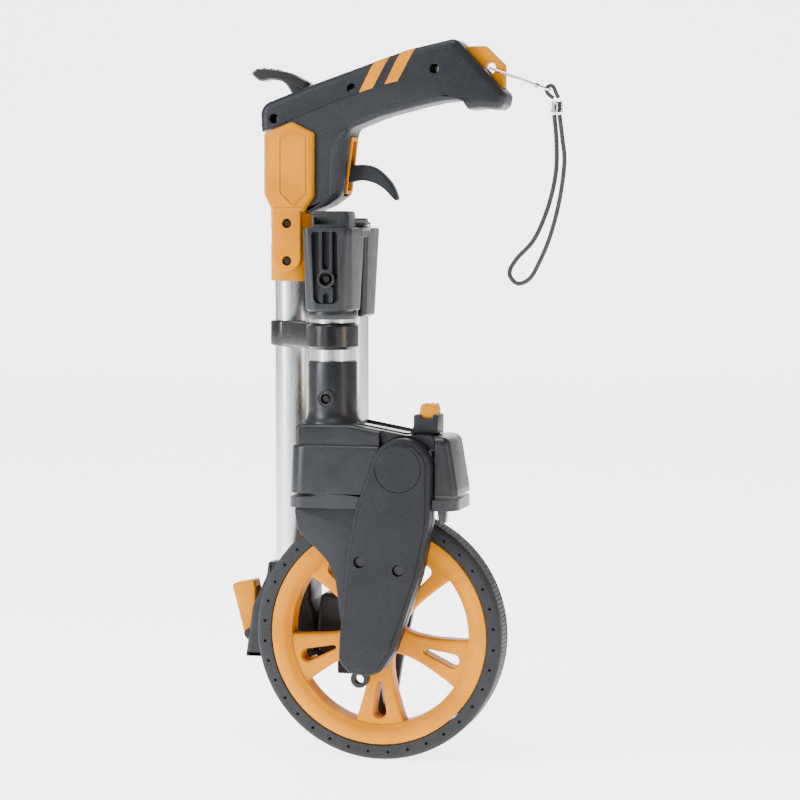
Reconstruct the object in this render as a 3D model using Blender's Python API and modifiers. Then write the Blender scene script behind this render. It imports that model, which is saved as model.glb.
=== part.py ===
"""Folding measuring wheel, modelled folded up and standing on its wheel.

The lengths below are in millimetres from the wheel's hub: X runs to the right along the
handle, Y from the gear cover towards the tubes, and Z up.  The part's own origin is on the
hub's axis, at the gear cover's flat outer face.
"""
import math

import bmesh
import bpy
from mathutils import Matrix, Vector

MM = 0.001
GAP = 0.3                      # clearance between neighbouring pieces

# Wheel: half a metre round the tread.
TYRE_R = 79.58
TYRE_HALF_WIDTH = 11.0
RIM_R = 69.7
RIM_INNER_R = 57.5
HUB_R = 13.0
SPOKES = 5
AXLE_R = 3.7
AXLE_TIP_R = 2.4

# Fork, gear cover and drive.
COVER_Y = -30.0
ARM_Y = (-19.0, -12.3)
REAR_ARM_Y = (12.5, 18.5)
COUNTER_X, COUNTER_Z = 18.5, 106.5
DRUM_X, DRUM_Z = 3.5, 113.5
DRUM_R = 11.0
DRIVE_PULLEY_R = 4.2
COUNTER_PULLEY_R = 9.3
BELT_Y = (-22.8, -20.0)
GEAR_TEETH = 16
GEAR_TOOTH = 0.5               # half the depth of a tooth

# Tubes and folds.
TUBE_R = 12.5
TUBE_BORE_R = 11.3
LOWER_X, LOWER_Y = -32.0, 0.0
MIDDLE_X, MIDDLE_Y = -32.0, 40.0
UPPER_X, UPPER_Y = -69.0, 40.0
TOP_AXIS_Y, TOP_AXIS_Z = 20.0, 256.0
FOLD_X, FOLD_Z = -50.5, -24.0
KNUCKLE_R = 6.0
HINGE_PIN_R = 2.2

# Levers.
TRIGGER_PIVOT = (-44.6, 290.0)
THUMB_PIVOT = (-60.0, 336.5)
LATCH_PIVOT = (-97.0, -9.0)
TOP_LATCH_PIVOT = (63.4, 232.0)
HANDLE_Y = 40.0
HANDLE_HALF = 15.0
WALL = 2.5

PALETTE = {
    "charcoal": ((0.055, 0.058, 0.063), 0.55, 0.0),
    "grip": ((0.045, 0.050, 0.058), 0.75, 0.0),
    "rubber": ((0.030, 0.031, 0.033), 0.85, 0.0),
    "orange": ((1.000, 0.390, 0.010), 0.38, 0.0),
    "aluminium": ((0.780, 0.780, 0.770), 0.34, 1.0),
    "steel": ((0.620, 0.620, 0.630), 0.28, 1.0),
    "black_screw": ((0.020, 0.020, 0.022), 0.45, 1.0),
    "chrome": ((0.820, 0.820, 0.830), 0.10, 1.0),
    "white": ((0.850, 0.850, 0.830), 0.50, 0.0),
    "lens": ((0.160, 0.170, 0.180), 0.08, 0.0),
    "brass": ((0.780, 0.570, 0.250), 0.35, 1.0),
    "cord": ((0.025, 0.026, 0.028), 0.90, 0.0),
}

for old in list(bpy.data.objects):
    bpy.data.objects.remove(old, do_unlink=True)


def collection(name):
    """Return a new collection linked into the scene."""
    made = bpy.data.collections.new(name)
    bpy.context.scene.collection.children.link(made)
    return made


PARTS = collection("measuring_wheel")
TOOLS = collection("cutters")


def point(x, y, z):
    """Turn millimetres from the hub into the part's own metres."""
    return Vector((x, y - COVER_Y, z)) * MM


def place(name, mesh, matrix):
    """Make an object of a mesh and give every round face smooth shading."""
    made = bpy.data.objects.new(name, mesh)
    made.matrix_world = matrix
    PARTS.objects.link(made)
    mesh.shade_smooth()
    mesh.set_sharp_from_angle(angle=math.radians(32))
    return made


def paint(obj, finish):
    """Give a piece its own material."""
    colour, roughness, metallic = PALETTE[finish]
    material = bpy.data.materials.new(obj.name)
    material.use_nodes = True
    shader = material.node_tree.nodes["Principled BSDF"]
    shader.inputs["Base Color"].default_value = (*colour, 1.0)
    shader.inputs["Roughness"].default_value = roughness
    shader.inputs["Metallic"].default_value = metallic
    obj.data.materials.clear()
    obj.data.materials.append(material)
    return obj


# ---------------------------------------------------------------- outlines

def rounded(corners, step=30.0):
    """Return an outline with each corner (a, b, radius) rounded by an arc."""
    outline = []
    count = len(corners)
    for i, (a, b, radius) in enumerate(corners):
        here = Vector((a, b))
        before = Vector(corners[i - 1][:2]) - here
        after = Vector(corners[(i + 1) % count][:2]) - here
        turn = math.pi - before.angle(after)
        if radius <= 0 or turn < 0.01:
            outline.append((a, b))
            continue
        reach = min(radius * math.tan(turn / 2), 0.49 * before.length, 0.49 * after.length)
        radius = reach / math.tan(turn / 2)
        start = here + before.normalized() * reach
        bisector = (before.normalized() + after.normalized()).normalized()
        centre = here + bisector * math.hypot(reach, radius)
        first = math.atan2(start.y - centre.y, start.x - centre.x)
        side = 1 if before.x * after.y - before.y * after.x < 0 else -1
        pieces = max(1, round(math.degrees(turn) / step))
        for k in range(pieces + 1):
            angle = first + side * turn * k / pieces
            outline.append((centre.x + radius * math.cos(angle), centre.y + radius * math.sin(angle)))
    return outline


def smooth(points, pieces=4, closed=False):
    """Return points along a Catmull-Rom curve through the given ones."""
    path = [Vector(p) for p in points]
    if closed:
        path = [path[-1]] + path + path[:2]
    else:
        path = [2 * path[0] - path[1]] + path + [2 * path[-1] - path[-2]]
    result = []
    for p0, p1, p2, p3 in zip(path, path[1:], path[2:], path[3:]):
        for k in range(pieces):
            t = k / pieces
            curve = 2 * p1 + (p2 - p0) * t + (2 * p0 - 5 * p1 + 4 * p2 - p3) * t * t
            curve += (3 * p1 - p0 - 3 * p2 + p3) * t ** 3
            result.append(tuple(curve / 2))
    if not closed:
        result.append(tuple(path[-2]))
    return result


def wrap(first, second, r1, r2, sides=10):
    """Return the outline of a belt's loop round two circles."""
    a, b = Vector(first), Vector(second)
    heading = (b - a).angle_signed(Vector((1, 0)))
    lean = math.asin((r1 - r2) / (b - a).length)
    outline = []
    for centre, radius, middle, half in ((b, r2, heading, math.pi / 2 + lean * -1),
                                         (a, r1, heading + math.pi, math.pi / 2 + lean)):
        for k in range(sides + 1):
            angle = middle - half + 2 * half * k / sides
            outline.append((centre.x + radius * math.cos(angle), centre.y + radius * math.sin(angle)))
    return outline


# ---------------------------------------------------------------- solids

PLANES = {
    "XZ": Matrix(((1, 0, 0), (0, 0, -1), (0, 1, 0))).to_4x4(),
    "YZ": Matrix(((0, 0, 1), (1, 0, 0), (0, 1, 0))).to_4x4(),
    "XY": Matrix.Identity(4),
}


def curve_to_mesh(curve, name, matrix):
    """Turn a curve into a closed mesh object."""
    holder = bpy.data.objects.new(name, curve)
    holder.matrix_world = matrix
    PARTS.objects.link(holder)
    bpy.context.view_layer.update()
    solid = bpy.data.meshes.new_from_object(holder.evaluated_get(bpy.context.evaluated_depsgraph_get()))
    solid.name = name
    bpy.data.objects.remove(holder, do_unlink=True)
    bm = bmesh.new()
    bm.from_mesh(solid)
    bmesh.ops.remove_doubles(bm, verts=bm.verts, dist=1e-6)
    bmesh.ops.recalc_face_normals(bm, faces=bm.faces)
    bm.to_mesh(solid)
    bm.free()
    return place(name, solid, matrix)


def plate(name, outline, plane, low, high, edge=0.0):
    """Extrude a flat outline across its plane, with rounded rims."""
    curve = bpy.data.curves.new(name, "CURVE")
    curve.dimensions = "2D"
    curve.fill_mode = "BOTH"
    curve.extrude = (abs(high - low) / 2 - edge) * MM
    curve.bevel_depth = edge * MM
    curve.bevel_resolution = 0
    curve.offset = -edge * MM
    spline = curve.splines.new("POLY")
    spline.points.add(len(outline) - 1)
    shift = Vector((0, 0))
    if plane == "YZ":
        shift = Vector((-COVER_Y, 0))
    if plane == "XY":
        shift = Vector((0, -COVER_Y))
    for dot, (a, b) in zip(spline.points, outline):
        dot.co = ((a + shift.x) * MM, (b + shift.y) * MM, 0, 1)
    spline.use_cyclic_u = True
    middle = (low + high) / 2
    centre = {"XZ": (0, (middle - COVER_Y) * MM, 0), "YZ": (middle * MM, 0, 0), "XY": (0, 0, middle * MM)}
    return curve_to_mesh(curve, name, Matrix.Translation(centre[plane]) @ PLANES[plane])


def box(name, low, high, edge=0.0, segments=2):
    """Make a box from its low and high corners, with rounded edges."""
    mesh = bpy.data.meshes.new(name)
    bm = bmesh.new()
    bmesh.ops.create_cube(bm, size=1.0)
    bmesh.ops.scale(bm, vec=point(*high) - point(*low), verts=bm.verts)
    bm.to_mesh(mesh)
    bm.free()
    made = place(name, mesh, Matrix.Translation((point(*low) + point(*high)) / 2))
    if edge:
        bevel = made.modifiers.new("rounding", "BEVEL")
        bevel.width = edge * MM
        bevel.segments = segments
        bevel.limit_method = "ANGLE"
    return made


def loft(name, low_outline, low, high_outline, high):
    """Skin two level outlines that have equally many points."""
    mesh = bpy.data.meshes.new(name)
    bm = bmesh.new()
    under = [bm.verts.new(point(x, y, low)) for x, y in low_outline]
    over = [bm.verts.new(point(x, y, high)) for x, y in high_outline]
    for k in range(len(under)):
        bm.faces.new((under[k - 1], under[k], over[k], over[k - 1]))
    bm.faces.new(under)
    bm.faces.new(over)
    bmesh.ops.recalc_face_normals(bm, faces=bm.faces)
    bm.to_mesh(mesh)
    bm.free()
    return place(name, mesh, Matrix.Identity(4))


def rod(name, start, end, radius, sides=24, tip=None):
    """Make a round bar, or a cone if the tip's radius is given, between two points."""
    a, b = point(*start), point(*end)
    mesh = bpy.data.meshes.new(name)
    bm = bmesh.new()
    bmesh.ops.create_cone(bm, cap_ends=True, segments=sides, radius1=radius * MM,
                          radius2=(radius if tip is None else tip) * MM, depth=(b - a).length)
    bm.to_mesh(mesh)
    bm.free()
    turn = (b - a).to_track_quat("Z", "Y").to_matrix().to_4x4()
    return place(name, mesh, Matrix.Translation((a + b) / 2) @ turn)


def turned(name, centre, axis, profile, steps=32):
    """Spin a profile of (radius, height) about an axis through the centre."""
    mesh = bpy.data.meshes.new(name)
    count = len(profile)
    verts = [(r * MM, 0, h * MM) for r, h in profile]
    closed = profile[0][0] > 0
    edges = [(k, (k + 1) % count) for k in range(count if closed else count - 1)]
    mesh.from_pydata(verts, edges, [])
    turn = {"Z": Matrix.Identity(4), "Y": Matrix.Rotation(-math.pi / 2, 4, "X"),
            "X": Matrix.Rotation(math.pi / 2, 4, "Y")}[axis]
    made = bpy.data.objects.new(name, mesh)
    made.matrix_world = Matrix.Translation(point(*centre)) @ turn
    PARTS.objects.link(made)
    screw = made.modifiers.new("spin", "SCREW")
    screw.steps = steps
    screw.render_steps = steps
    screw.use_merge_vertices = True
    screw.merge_threshold = 0.00001
    screw.use_smooth_shade = True
    return made


def ring(name, centre, axis, outer, inner, low, high, steps=32):
    """Make a plain ring round an axis."""
    profile = [(outer, high), (outer, low), (inner, low), (inner, high)]
    return turned(name, centre, axis, profile, steps)


def wire(name, points, radius, closed=False, resolution=2):
    """Make a round wire or cord along points."""
    curve = bpy.data.curves.new(name, "CURVE")
    curve.dimensions = "3D"
    curve.bevel_depth = radius * MM
    curve.bevel_resolution = resolution
    curve.use_fill_caps = not closed
    spline = curve.splines.new("POLY")
    spline.points.add(len(points) - 1)
    for dot, spot in zip(spline.points, points):
        dot.co = (*point(*spot), 1)
    spline.use_cyclic_u = closed
    return curve_to_mesh(curve, name, Matrix.Identity(4))


# EXACT loses faces on these pieces.
TOUCHY = ("spine", "grip", "lower_hinge_block", "middle_hinge_block", "counter_housing")


def combine(target, others, operation):
    """Cut, join or intersect a piece with helper solids."""
    for other in others:
        for home in other.users_collection:
            home.objects.unlink(other)
        TOOLS.objects.link(other)
        other.hide_render = True
        other.display_type = "WIRE"
        step = target.modifiers.new(other.name, "BOOLEAN")
        step.operation = operation
        step.solver = "MANIFOLD" if target.name.startswith(TOUCHY) else "EXACT"
        step.object = other
    return target


def cut(target, *others):
    return combine(target, others, "DIFFERENCE")


def join(target, *others):
    return combine(target, others, "UNION")


def keep(target, *others):
    return combine(target, others, "INTERSECT")


def pivot(obj, x, y, z):
    """Move a piece's origin to its joint's axis, leaving its shape where it is."""
    goal = point(x, y, z)
    shift = Matrix.Translation(-goal) @ obj.matrix_world
    obj.data.transform(shift)
    obj.matrix_world = Matrix.Translation(goal)
    return obj


# ---------------------------------------------------------------- wheel

def spoke_outline(angle):
    """Return one spoke, flared where it meets the rim."""
    side = [(8.5, 8.0), (7.6, 18.0), (8.4, 28.0), (11.0, 40.0), (14.5, 51.0), (18.5, 59.5)]
    edge = smooth(side, 1)
    half = edge + [(-a, r) for a, r in reversed(edge)]
    turn = Matrix.Rotation(math.radians(angle) - math.pi / 2, 2)
    return [tuple(turn @ Vector(p)) for p in half]


def slot_outline(angle):
    """Return a spoke's teardrop window, round end outwards."""
    drop = rounded([(-1.1, 31.5, 1.0), (1.1, 31.5, 1.0), (4.6, 53.5, 4.3), (-4.6, 53.5, 4.3)], 45)
    turn = Matrix.Rotation(math.radians(angle) - math.pi / 2, 2)
    return [tuple(turn @ Vector(p)) for p in drop]


def build_wheel():
    shoulder = 8.2
    tyre = turned("tyre", (0, 0, 0), "Y", [
        (TYRE_R, shoulder), (TYRE_R, -shoulder), (TYRE_R - 1.6, -TYRE_HALF_WIDTH + 0.3),
        (TYRE_R - 3.2, -TYRE_HALF_WIDTH), (RIM_R + GAP, -TYRE_HALF_WIDTH),
        (RIM_R + GAP, TYRE_HALF_WIDTH), (TYRE_R - 3.2, TYRE_HALF_WIDTH),
        (TYRE_R - 1.6, TYRE_HALF_WIDTH - 0.3)], 44)
    paint(tyre, "rubber")
    rim = turned("wheel_rim", (0, 0, 0), "Y", [
        (RIM_R, 10.4), (RIM_R, -10.4), (RIM_R - 3.5, -11.2), (RIM_R - 8.5, -10.0),
        (RIM_INNER_R, -6.5), (RIM_INNER_R, 6.5), (RIM_R - 8.5, 10.0), (RIM_R - 3.5, 11.2)], 40)
    arms = []
    for k in range(SPOKES):
        angle = -90 + 360 / SPOKES * k
        arms.append(plate(f"spoke_{k}", spoke_outline(angle), "XZ", -5.5, 5.5))
    join(rim, rod("hub_boss", (0, -10.5, 0), (0, 10.5, 0), HUB_R, 32), *arms)
    windows = []
    for k in range(SPOKES):
        angle = -90 + 360 / SPOKES * k
        windows.append(plate(f"spoke_window_{k}", slot_outline(angle), "XZ", -12, 12))
    cut(rim, rod("hub_bore", (0, -14, 0), (0, 14, 0), AXLE_R + GAP, 24), *windows)
    paint(rim, "orange")
    axle = turned("axle", (0, 0, 0), "Y", [
        (0, 22.5), (AXLE_R - 0.6, 22.5), (AXLE_R, 21.9), (AXLE_R, -18.7), (AXLE_TIP_R, -19.0),
        (AXLE_TIP_R, -26.0), (0, -26.0)], 24)
    paint(axle, "steel")
    pulley = turned("drive_pulley", (0, 0, 0), "Y", [
        (DRIVE_PULLEY_R, BELT_Y[1] + 0.4), (DRIVE_PULLEY_R, BELT_Y[0] - 0.3), (6.4, BELT_Y[0] - 0.5),
        (6.4, -24.4), (AXLE_TIP_R + GAP, -24.4), (AXLE_TIP_R + GAP, BELT_Y[1] + 0.4)], 24)
    paint(pulley, "brass")


# ---------------------------------------------------------------- fork and drive

COVER_TOP = (19.0, 107.0)
COVER_TOP_R = 18.8
COVER_SIDES = [
    (37.2, 72.0, 40.0), (30.7, 40.0, 60.0), (13.8, -9.0, 8.0), (6.0, -20.5, 10.0), (-2.0, -23.5, 10.0),
    (-14.0, -22.3, 8.0), (-21.0, -15.0, 8.0), (-20.5, 0.0, 40.0), (-15.5, 52.0, 80.0), (-11.0, 79.0, 30.0)]
COVER_SCREWS = {"left": (-7.2, 48.4), "right": (17.5, 43.8)}
COVER_ROUNDING = 2.6
LUG = (-10.2, -27.2)
LUG_R = 5.6


def cover_outline(grow=0.0):
    """Return the gear cover's outline, an arc on top and tapering sides, grown outwards if wanted."""
    turn, pieces = math.radians(160), 8
    corners = []
    for k in range(pieces + 1):
        angle = turn * (1 - k / pieces)
        x, z = COVER_TOP
        corners.append((x + COVER_TOP_R * math.cos(angle), z + COVER_TOP_R * math.sin(angle), 0))
    outline = rounded(corners + COVER_SIDES, 22)
    result = []
    count = len(outline)
    for k, here in enumerate(outline):
        before, after = Vector(outline[k - 1]), Vector(outline[(k + 1) % count])
        along = (after - before).normalized()
        result.append((here[0] - along.y * grow, here[1] + along.x * grow))
    return result


def build_cover():
    cover = plate("gear_cover", cover_outline(), "XZ", COVER_Y, ARM_Y[0] - GAP, COVER_ROUNDING)
    cut(cover, plate("cover_hollow", cover_outline(-3.2), "XZ", COVER_Y + 2.4, ARM_Y[0] + 4.3))
    for side, (x, z) in COVER_SCREWS.items():
        join(cover, rod(f"screw_post_{side}", (x, COVER_Y + 1.5, z), (x, -23.4, z), 5.0, 20))
    for side, (x, z) in COVER_SCREWS.items():
        cut(cover, rod(f"screw_well_{side}", (x, COVER_Y - 2, z), (x, -25.0, z), 3.6, 20),
            rod(f"screw_way_{side}", (x, -25.5, z), (x, -20, z), 1.7, 12))
    paint(cover, "charcoal")
    for side, (x, z) in COVER_SCREWS.items():
        screw = turned(f"cover_screw_{side}", (x, 0, z), "Y", [
            (0, -14.5), (1.4, -14.5), (1.4, -25.1), (3.1, -25.3), (3.1, -27.4), (0, -27.4)], 16)
        paint(screw, "black_screw")


def build_fork():
    arm = plate("fork_arm", cover_outline(), "XZ", *ARM_Y)
    web = rounded([(-52.5, 80.6, 2), (-50.5, 66, 14), (-31, 47.5, 16), (-25.5, 34, 20), (-22, 5, 10),
                   (-8, 5, 0), (6, 60, 0), (6, 80.6, 0)], 18)
    x, z = LUG
    lug = rod("arm_lug", (x, ARM_Y[0] + 0.5, z), (x, ARM_Y[1] - 0.5, z), LUG_R, 20)
    neck = box("lug_neck", (x - 3.6, ARM_Y[0] + 0.5, z), (x + 3.6, ARM_Y[1] - 0.5, z + 9))
    join(arm, plate("arm_web", web, "XZ", ARM_Y[0] + 0.4, ARM_Y[1]), lug, neck)
    cut(arm, rod("arm_hub_hole", (0, -24, 0), (0, -9, 0), 8.3, 24),
        rod("arm_shaft_hole", (COUNTER_X, -24, COUNTER_Z), (COUNTER_X, -9, COUNTER_Z), 3.2, 16),
        rod("arm_lug_hole", (x, -24, z), (x, -9, z), 2.9, 16))
    for side, (x, z) in COVER_SCREWS.items():
        cut(arm, rod(f"arm_screw_hole_{side}", (x, -24, z), (x, -9, z), 1.75, 12))
    paint(arm, "charcoal")
    tail = rounded([(-40, 80.6, 2), (-17, 20, 20), (-15.5, -12, 20), (-9, -45, 12), (-3.5, -60, 3), (1, -58, 3),
                    (7, -38, 8), (9.5, -22, 14), (17, 12, 20), (31, 80.6, 2)], 20)
    rear = plate("rear_arm", tail, "XZ", *REAR_ARM_Y)
    window = rounded([(-5.5, -28, 2), (3.5, -28, 2), (-1.5, -53, 1)], 30)
    cut(rear, rod("rear_hub_hole", (0, 8, 0), (0, 24, 0), 8.3, 24), plate("tail_window", window, "XZ", 8, 24))
    paint(rear, "charcoal")
    for side, (low, high) in zip(("front", "rear"), ((-18.7, -12.6), (12.8, 18.2))):
        paint(ring(f"axle_bush_{side}", (0, 0, 0), "Y", 8.0, AXLE_R + GAP, low, high, 24), "brass")


def gear_outline(x, z, phase):
    """Return a small gear with soft teeth, as a sine wave round its pitch circle."""
    pitch = math.hypot(COUNTER_X - DRUM_X, COUNTER_Z - DRUM_Z) / 2 - 0.3
    outline = []
    for k in range(GEAR_TEETH * 4):
        angle = 2 * math.pi * k / (GEAR_TEETH * 4)
        radius = pitch + GEAR_TOOTH * math.cos(GEAR_TEETH * angle + phase)
        outline.append((x + radius * math.cos(angle), z + radius * math.sin(angle)))
    return outline


def build_counter():
    centre = (COUNTER_X, 0, COUNTER_Z)
    pulley = turned("counter_pulley", centre, "Y", [
        (COUNTER_PULLEY_R, BELT_Y[1] + 0.4), (COUNTER_PULLEY_R, BELT_Y[0] - 0.3), (11.8, BELT_Y[0] - 0.5),
        (11.8, -24.4), (2.3, -24.4), (2.3, BELT_Y[1] + 0.4)], 28)
    paint(pulley, "white")
    to_drum = math.atan2(DRUM_Z - COUNTER_Z, DRUM_X - COUNTER_X)
    first = gear_outline(COUNTER_X, COUNTER_Z, -GEAR_TEETH * to_drum)
    second = gear_outline(DRUM_X, DRUM_Z, math.pi - GEAR_TEETH * (to_drum + math.pi))
    gear = plate("counter_gear", first, "XZ", -9.2, -6.2)
    join(gear, rod("counter_gear_shaft", (COUNTER_X, -26, COUNTER_Z), (COUNTER_X, -5.6, COUNTER_Z), 2.0, 16))
    paint(pivot(gear, *centre), "white")
    gear = plate("drum_gear", second, "XZ", -9.2, -6.2)
    cut(gear, rod("drum_gear_bore", (DRUM_X, -12, DRUM_Z), (DRUM_X, -3, DRUM_Z), 2.3, 16))
    paint(pivot(gear, DRUM_X, 0, DRUM_Z), "white")
    paint(pivot(rod("drum_shaft", (DRUM_X, -9.4, DRUM_Z), (DRUM_X, 17.4, DRUM_Z), 2.0, 16), DRUM_X, 0, DRUM_Z),
          "steel")
    width, low = 6.6, -5.4
    for name in ("units", "tens", "hundreds"):
        drum = ring(f"digit_drum_{name}", (DRUM_X, 0, DRUM_Z), "Y", DRUM_R, 2.3, low, low + width, 30)
        paint(drum, "white")
        low += width + 0.5
    inner, outer = 0.3, 1.5
    ends = (0, 0), (COUNTER_X, COUNTER_Z)
    belt = plate("drive_belt", wrap(*ends, DRIVE_PULLEY_R + outer, COUNTER_PULLEY_R + outer), "XZ", *BELT_Y)
    cut(belt, plate("belt_inside", wrap(*ends, DRIVE_PULLEY_R + inner, COUNTER_PULLEY_R + inner), "XZ", -25, -18))
    paint(belt, "rubber")


# ---------------------------------------------------------------- counter housing

def footprint(x0, x1, half, radius):
    """Return a rounded rectangle seen from above."""
    return rounded([(x0, -half, radius), (x1, -half, radius), (x1, half, radius), (x0, half, radius)], 22)


def level(x0, x1, y0, y1, front, rear):
    """Return a rectangle seen from above, with one radius for its front corners and one for its rear ones."""
    return rounded([(x0, y0, front), (x1, y0, front), (x1, y1, rear), (x0, y1, rear)])


def cover_pocket(name):
    """Return the space that the gear cover and its arm need in the housing."""
    return plate(name, cover_outline(0.5), "XZ", COVER_Y - 4, ARM_Y[1] + GAP)


def build_housing():
    housing = plate("counter_housing", footprint(-55, 37.8, 24, 10), "XY", 90, 120.5, 1.5)
    neck_side = rounded([(-51, 112, 0), (-51, 133, 3), (-16, 133.5, 12), (20, 127, 4), (37.6, 127, 3),
                         (37.6, 112, 0)])
    neck = plate("housing_neck", neck_side, "XZ", -20.5, 20.5, 2.5)
    socket = turned("housing_socket", (LOWER_X, LOWER_Y, 0), "Z", [
        (0, 172), (14.8, 172), (15.5, 171.2), (15.5, 139), (17.0, 135), (19.4, 131), (19.4, 126), (0, 126)], 24)
    boss = rod("socket_boss", (LOWER_X, -17.2, 149), (LOWER_X, -10, 149), 5.3, 20)
    join(housing, neck, socket, boss)
    drums = box("housing_hollow", (-10.5, -9.8, 86), (24.4, 18.0, 124.6))
    gears = box("housing_gear_room", (-9.5, -9.4, 85), (34, 17.2, 116.4))
    shaft_way = rod("housing_shaft_way", (COUNTER_X, -16, COUNTER_Z), (COUNTER_X, -8, COUNTER_Z), 3.2, 16)
    window = box("housing_window", (-13.5, -8, 120), (17.5, 17, 140))
    bore = rod("socket_bore", (LOWER_X, LOWER_Y, 140.7), (LOWER_X, LOWER_Y, 180), TUBE_R + GAP, 24)
    screw_way = rod("socket_screw_way", (LOWER_X, -20, 149), (LOWER_X, -5, 149), 3.3, 16)
    side_hole = rod("socket_side_hole", (-50, LOWER_Y, 160), (-40, LOWER_Y, 160), 2.6, 12)
    button_way = box("housing_button_way", (25.6, -7.3, 118), (36.9, 7.3, 130))
    step = box("neck_step", (3.5, -35, 118), (45, -16.5, 140))
    cut(housing, cover_pocket("housing_cover_pocket"), step, drums, gears, shaft_way, window, bore, screw_way,
        side_hole, button_way)
    paint(housing, "charcoal")
    lens = box("counter_window", (-13.2, -7.7, 126.2), (17.2, 16.7, 128.4), 0.5, 1)
    paint(lens, "lens")
    base = plate("housing_base", footprint(-56, 53.5, 24.5, 11), "XY", 80.9, 89.7, 1.2)
    arch = rod("wheel_arch", (0, -12.5, 0), (0, 12.5, 0), TYRE_R + 2.2, 40)
    cut(base, cover_pocket("base_cover_pocket"), arch, box("base_hollow", (-8, -8, 78), (33, 20, 95)))
    paint(base, "charcoal")
    front_side = rounded([(38.7, 90, 0), (38.7, 127.5, 2), (47.5, 126.5, 5), (52.8, 90, 0)])
    front = plate("front_cover", front_side, "XZ", -21, 21, 4)
    paint(front, "charcoal")
    screw = turned("socket_screw", (LOWER_X, 0, 149), "Y", [
        (0, -12.9), (2.9, -12.9), (2.9, -15.6), (1.9, -16.3), (0, -16.3)], 16)
    paint(screw, "black_screw")
    collar = box("reset_collar", (22.4, -9, 127.3), (38.1, 9, 139.5), 1.0, 1)
    cut(collar, box("collar_hole", (25.6, -7.3, 120), (36.9, 7.3, 145)))
    paint(collar, "charcoal")
    button_side = rounded([(26.0, 128, 0), (26.0, 146.3, 2.2), (36.5, 146.3, 2.2), (36.5, 128, 0)], 30)
    button = plate("reset_button", button_side, "XZ", -6.9, 6.9, 0.8)
    paint(pivot(button, 31.2, 0, 128), "orange")
    turns, per_turn = 4, 8
    coil = []
    for k in range(turns * per_turn + 1):
        angle = 2 * math.pi * k / per_turn
        coil.append((31.2 + 3.2 * math.cos(angle), 3.2 * math.sin(angle), 118.8 + 8.3 * k / (turns * per_turn)))
    paint(wire("reset_spring", coil, 0.45, resolution=1), "steel")


# ---------------------------------------------------------------- tubes and hinges

def tube(name, x, y, low, high):
    return paint(ring(name, (x, y, 0), "Z", TUBE_R, TUBE_BORE_R, low, high, 24), "aluminium")


def build_tubes():
    tube("lower_tube", LOWER_X, LOWER_Y, 141, 238)
    tube("middle_tube", MIDDLE_X, MIDDLE_Y, 1, 236)
    tube("upper_tube", UPPER_X, UPPER_Y, 6, 300)


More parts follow.
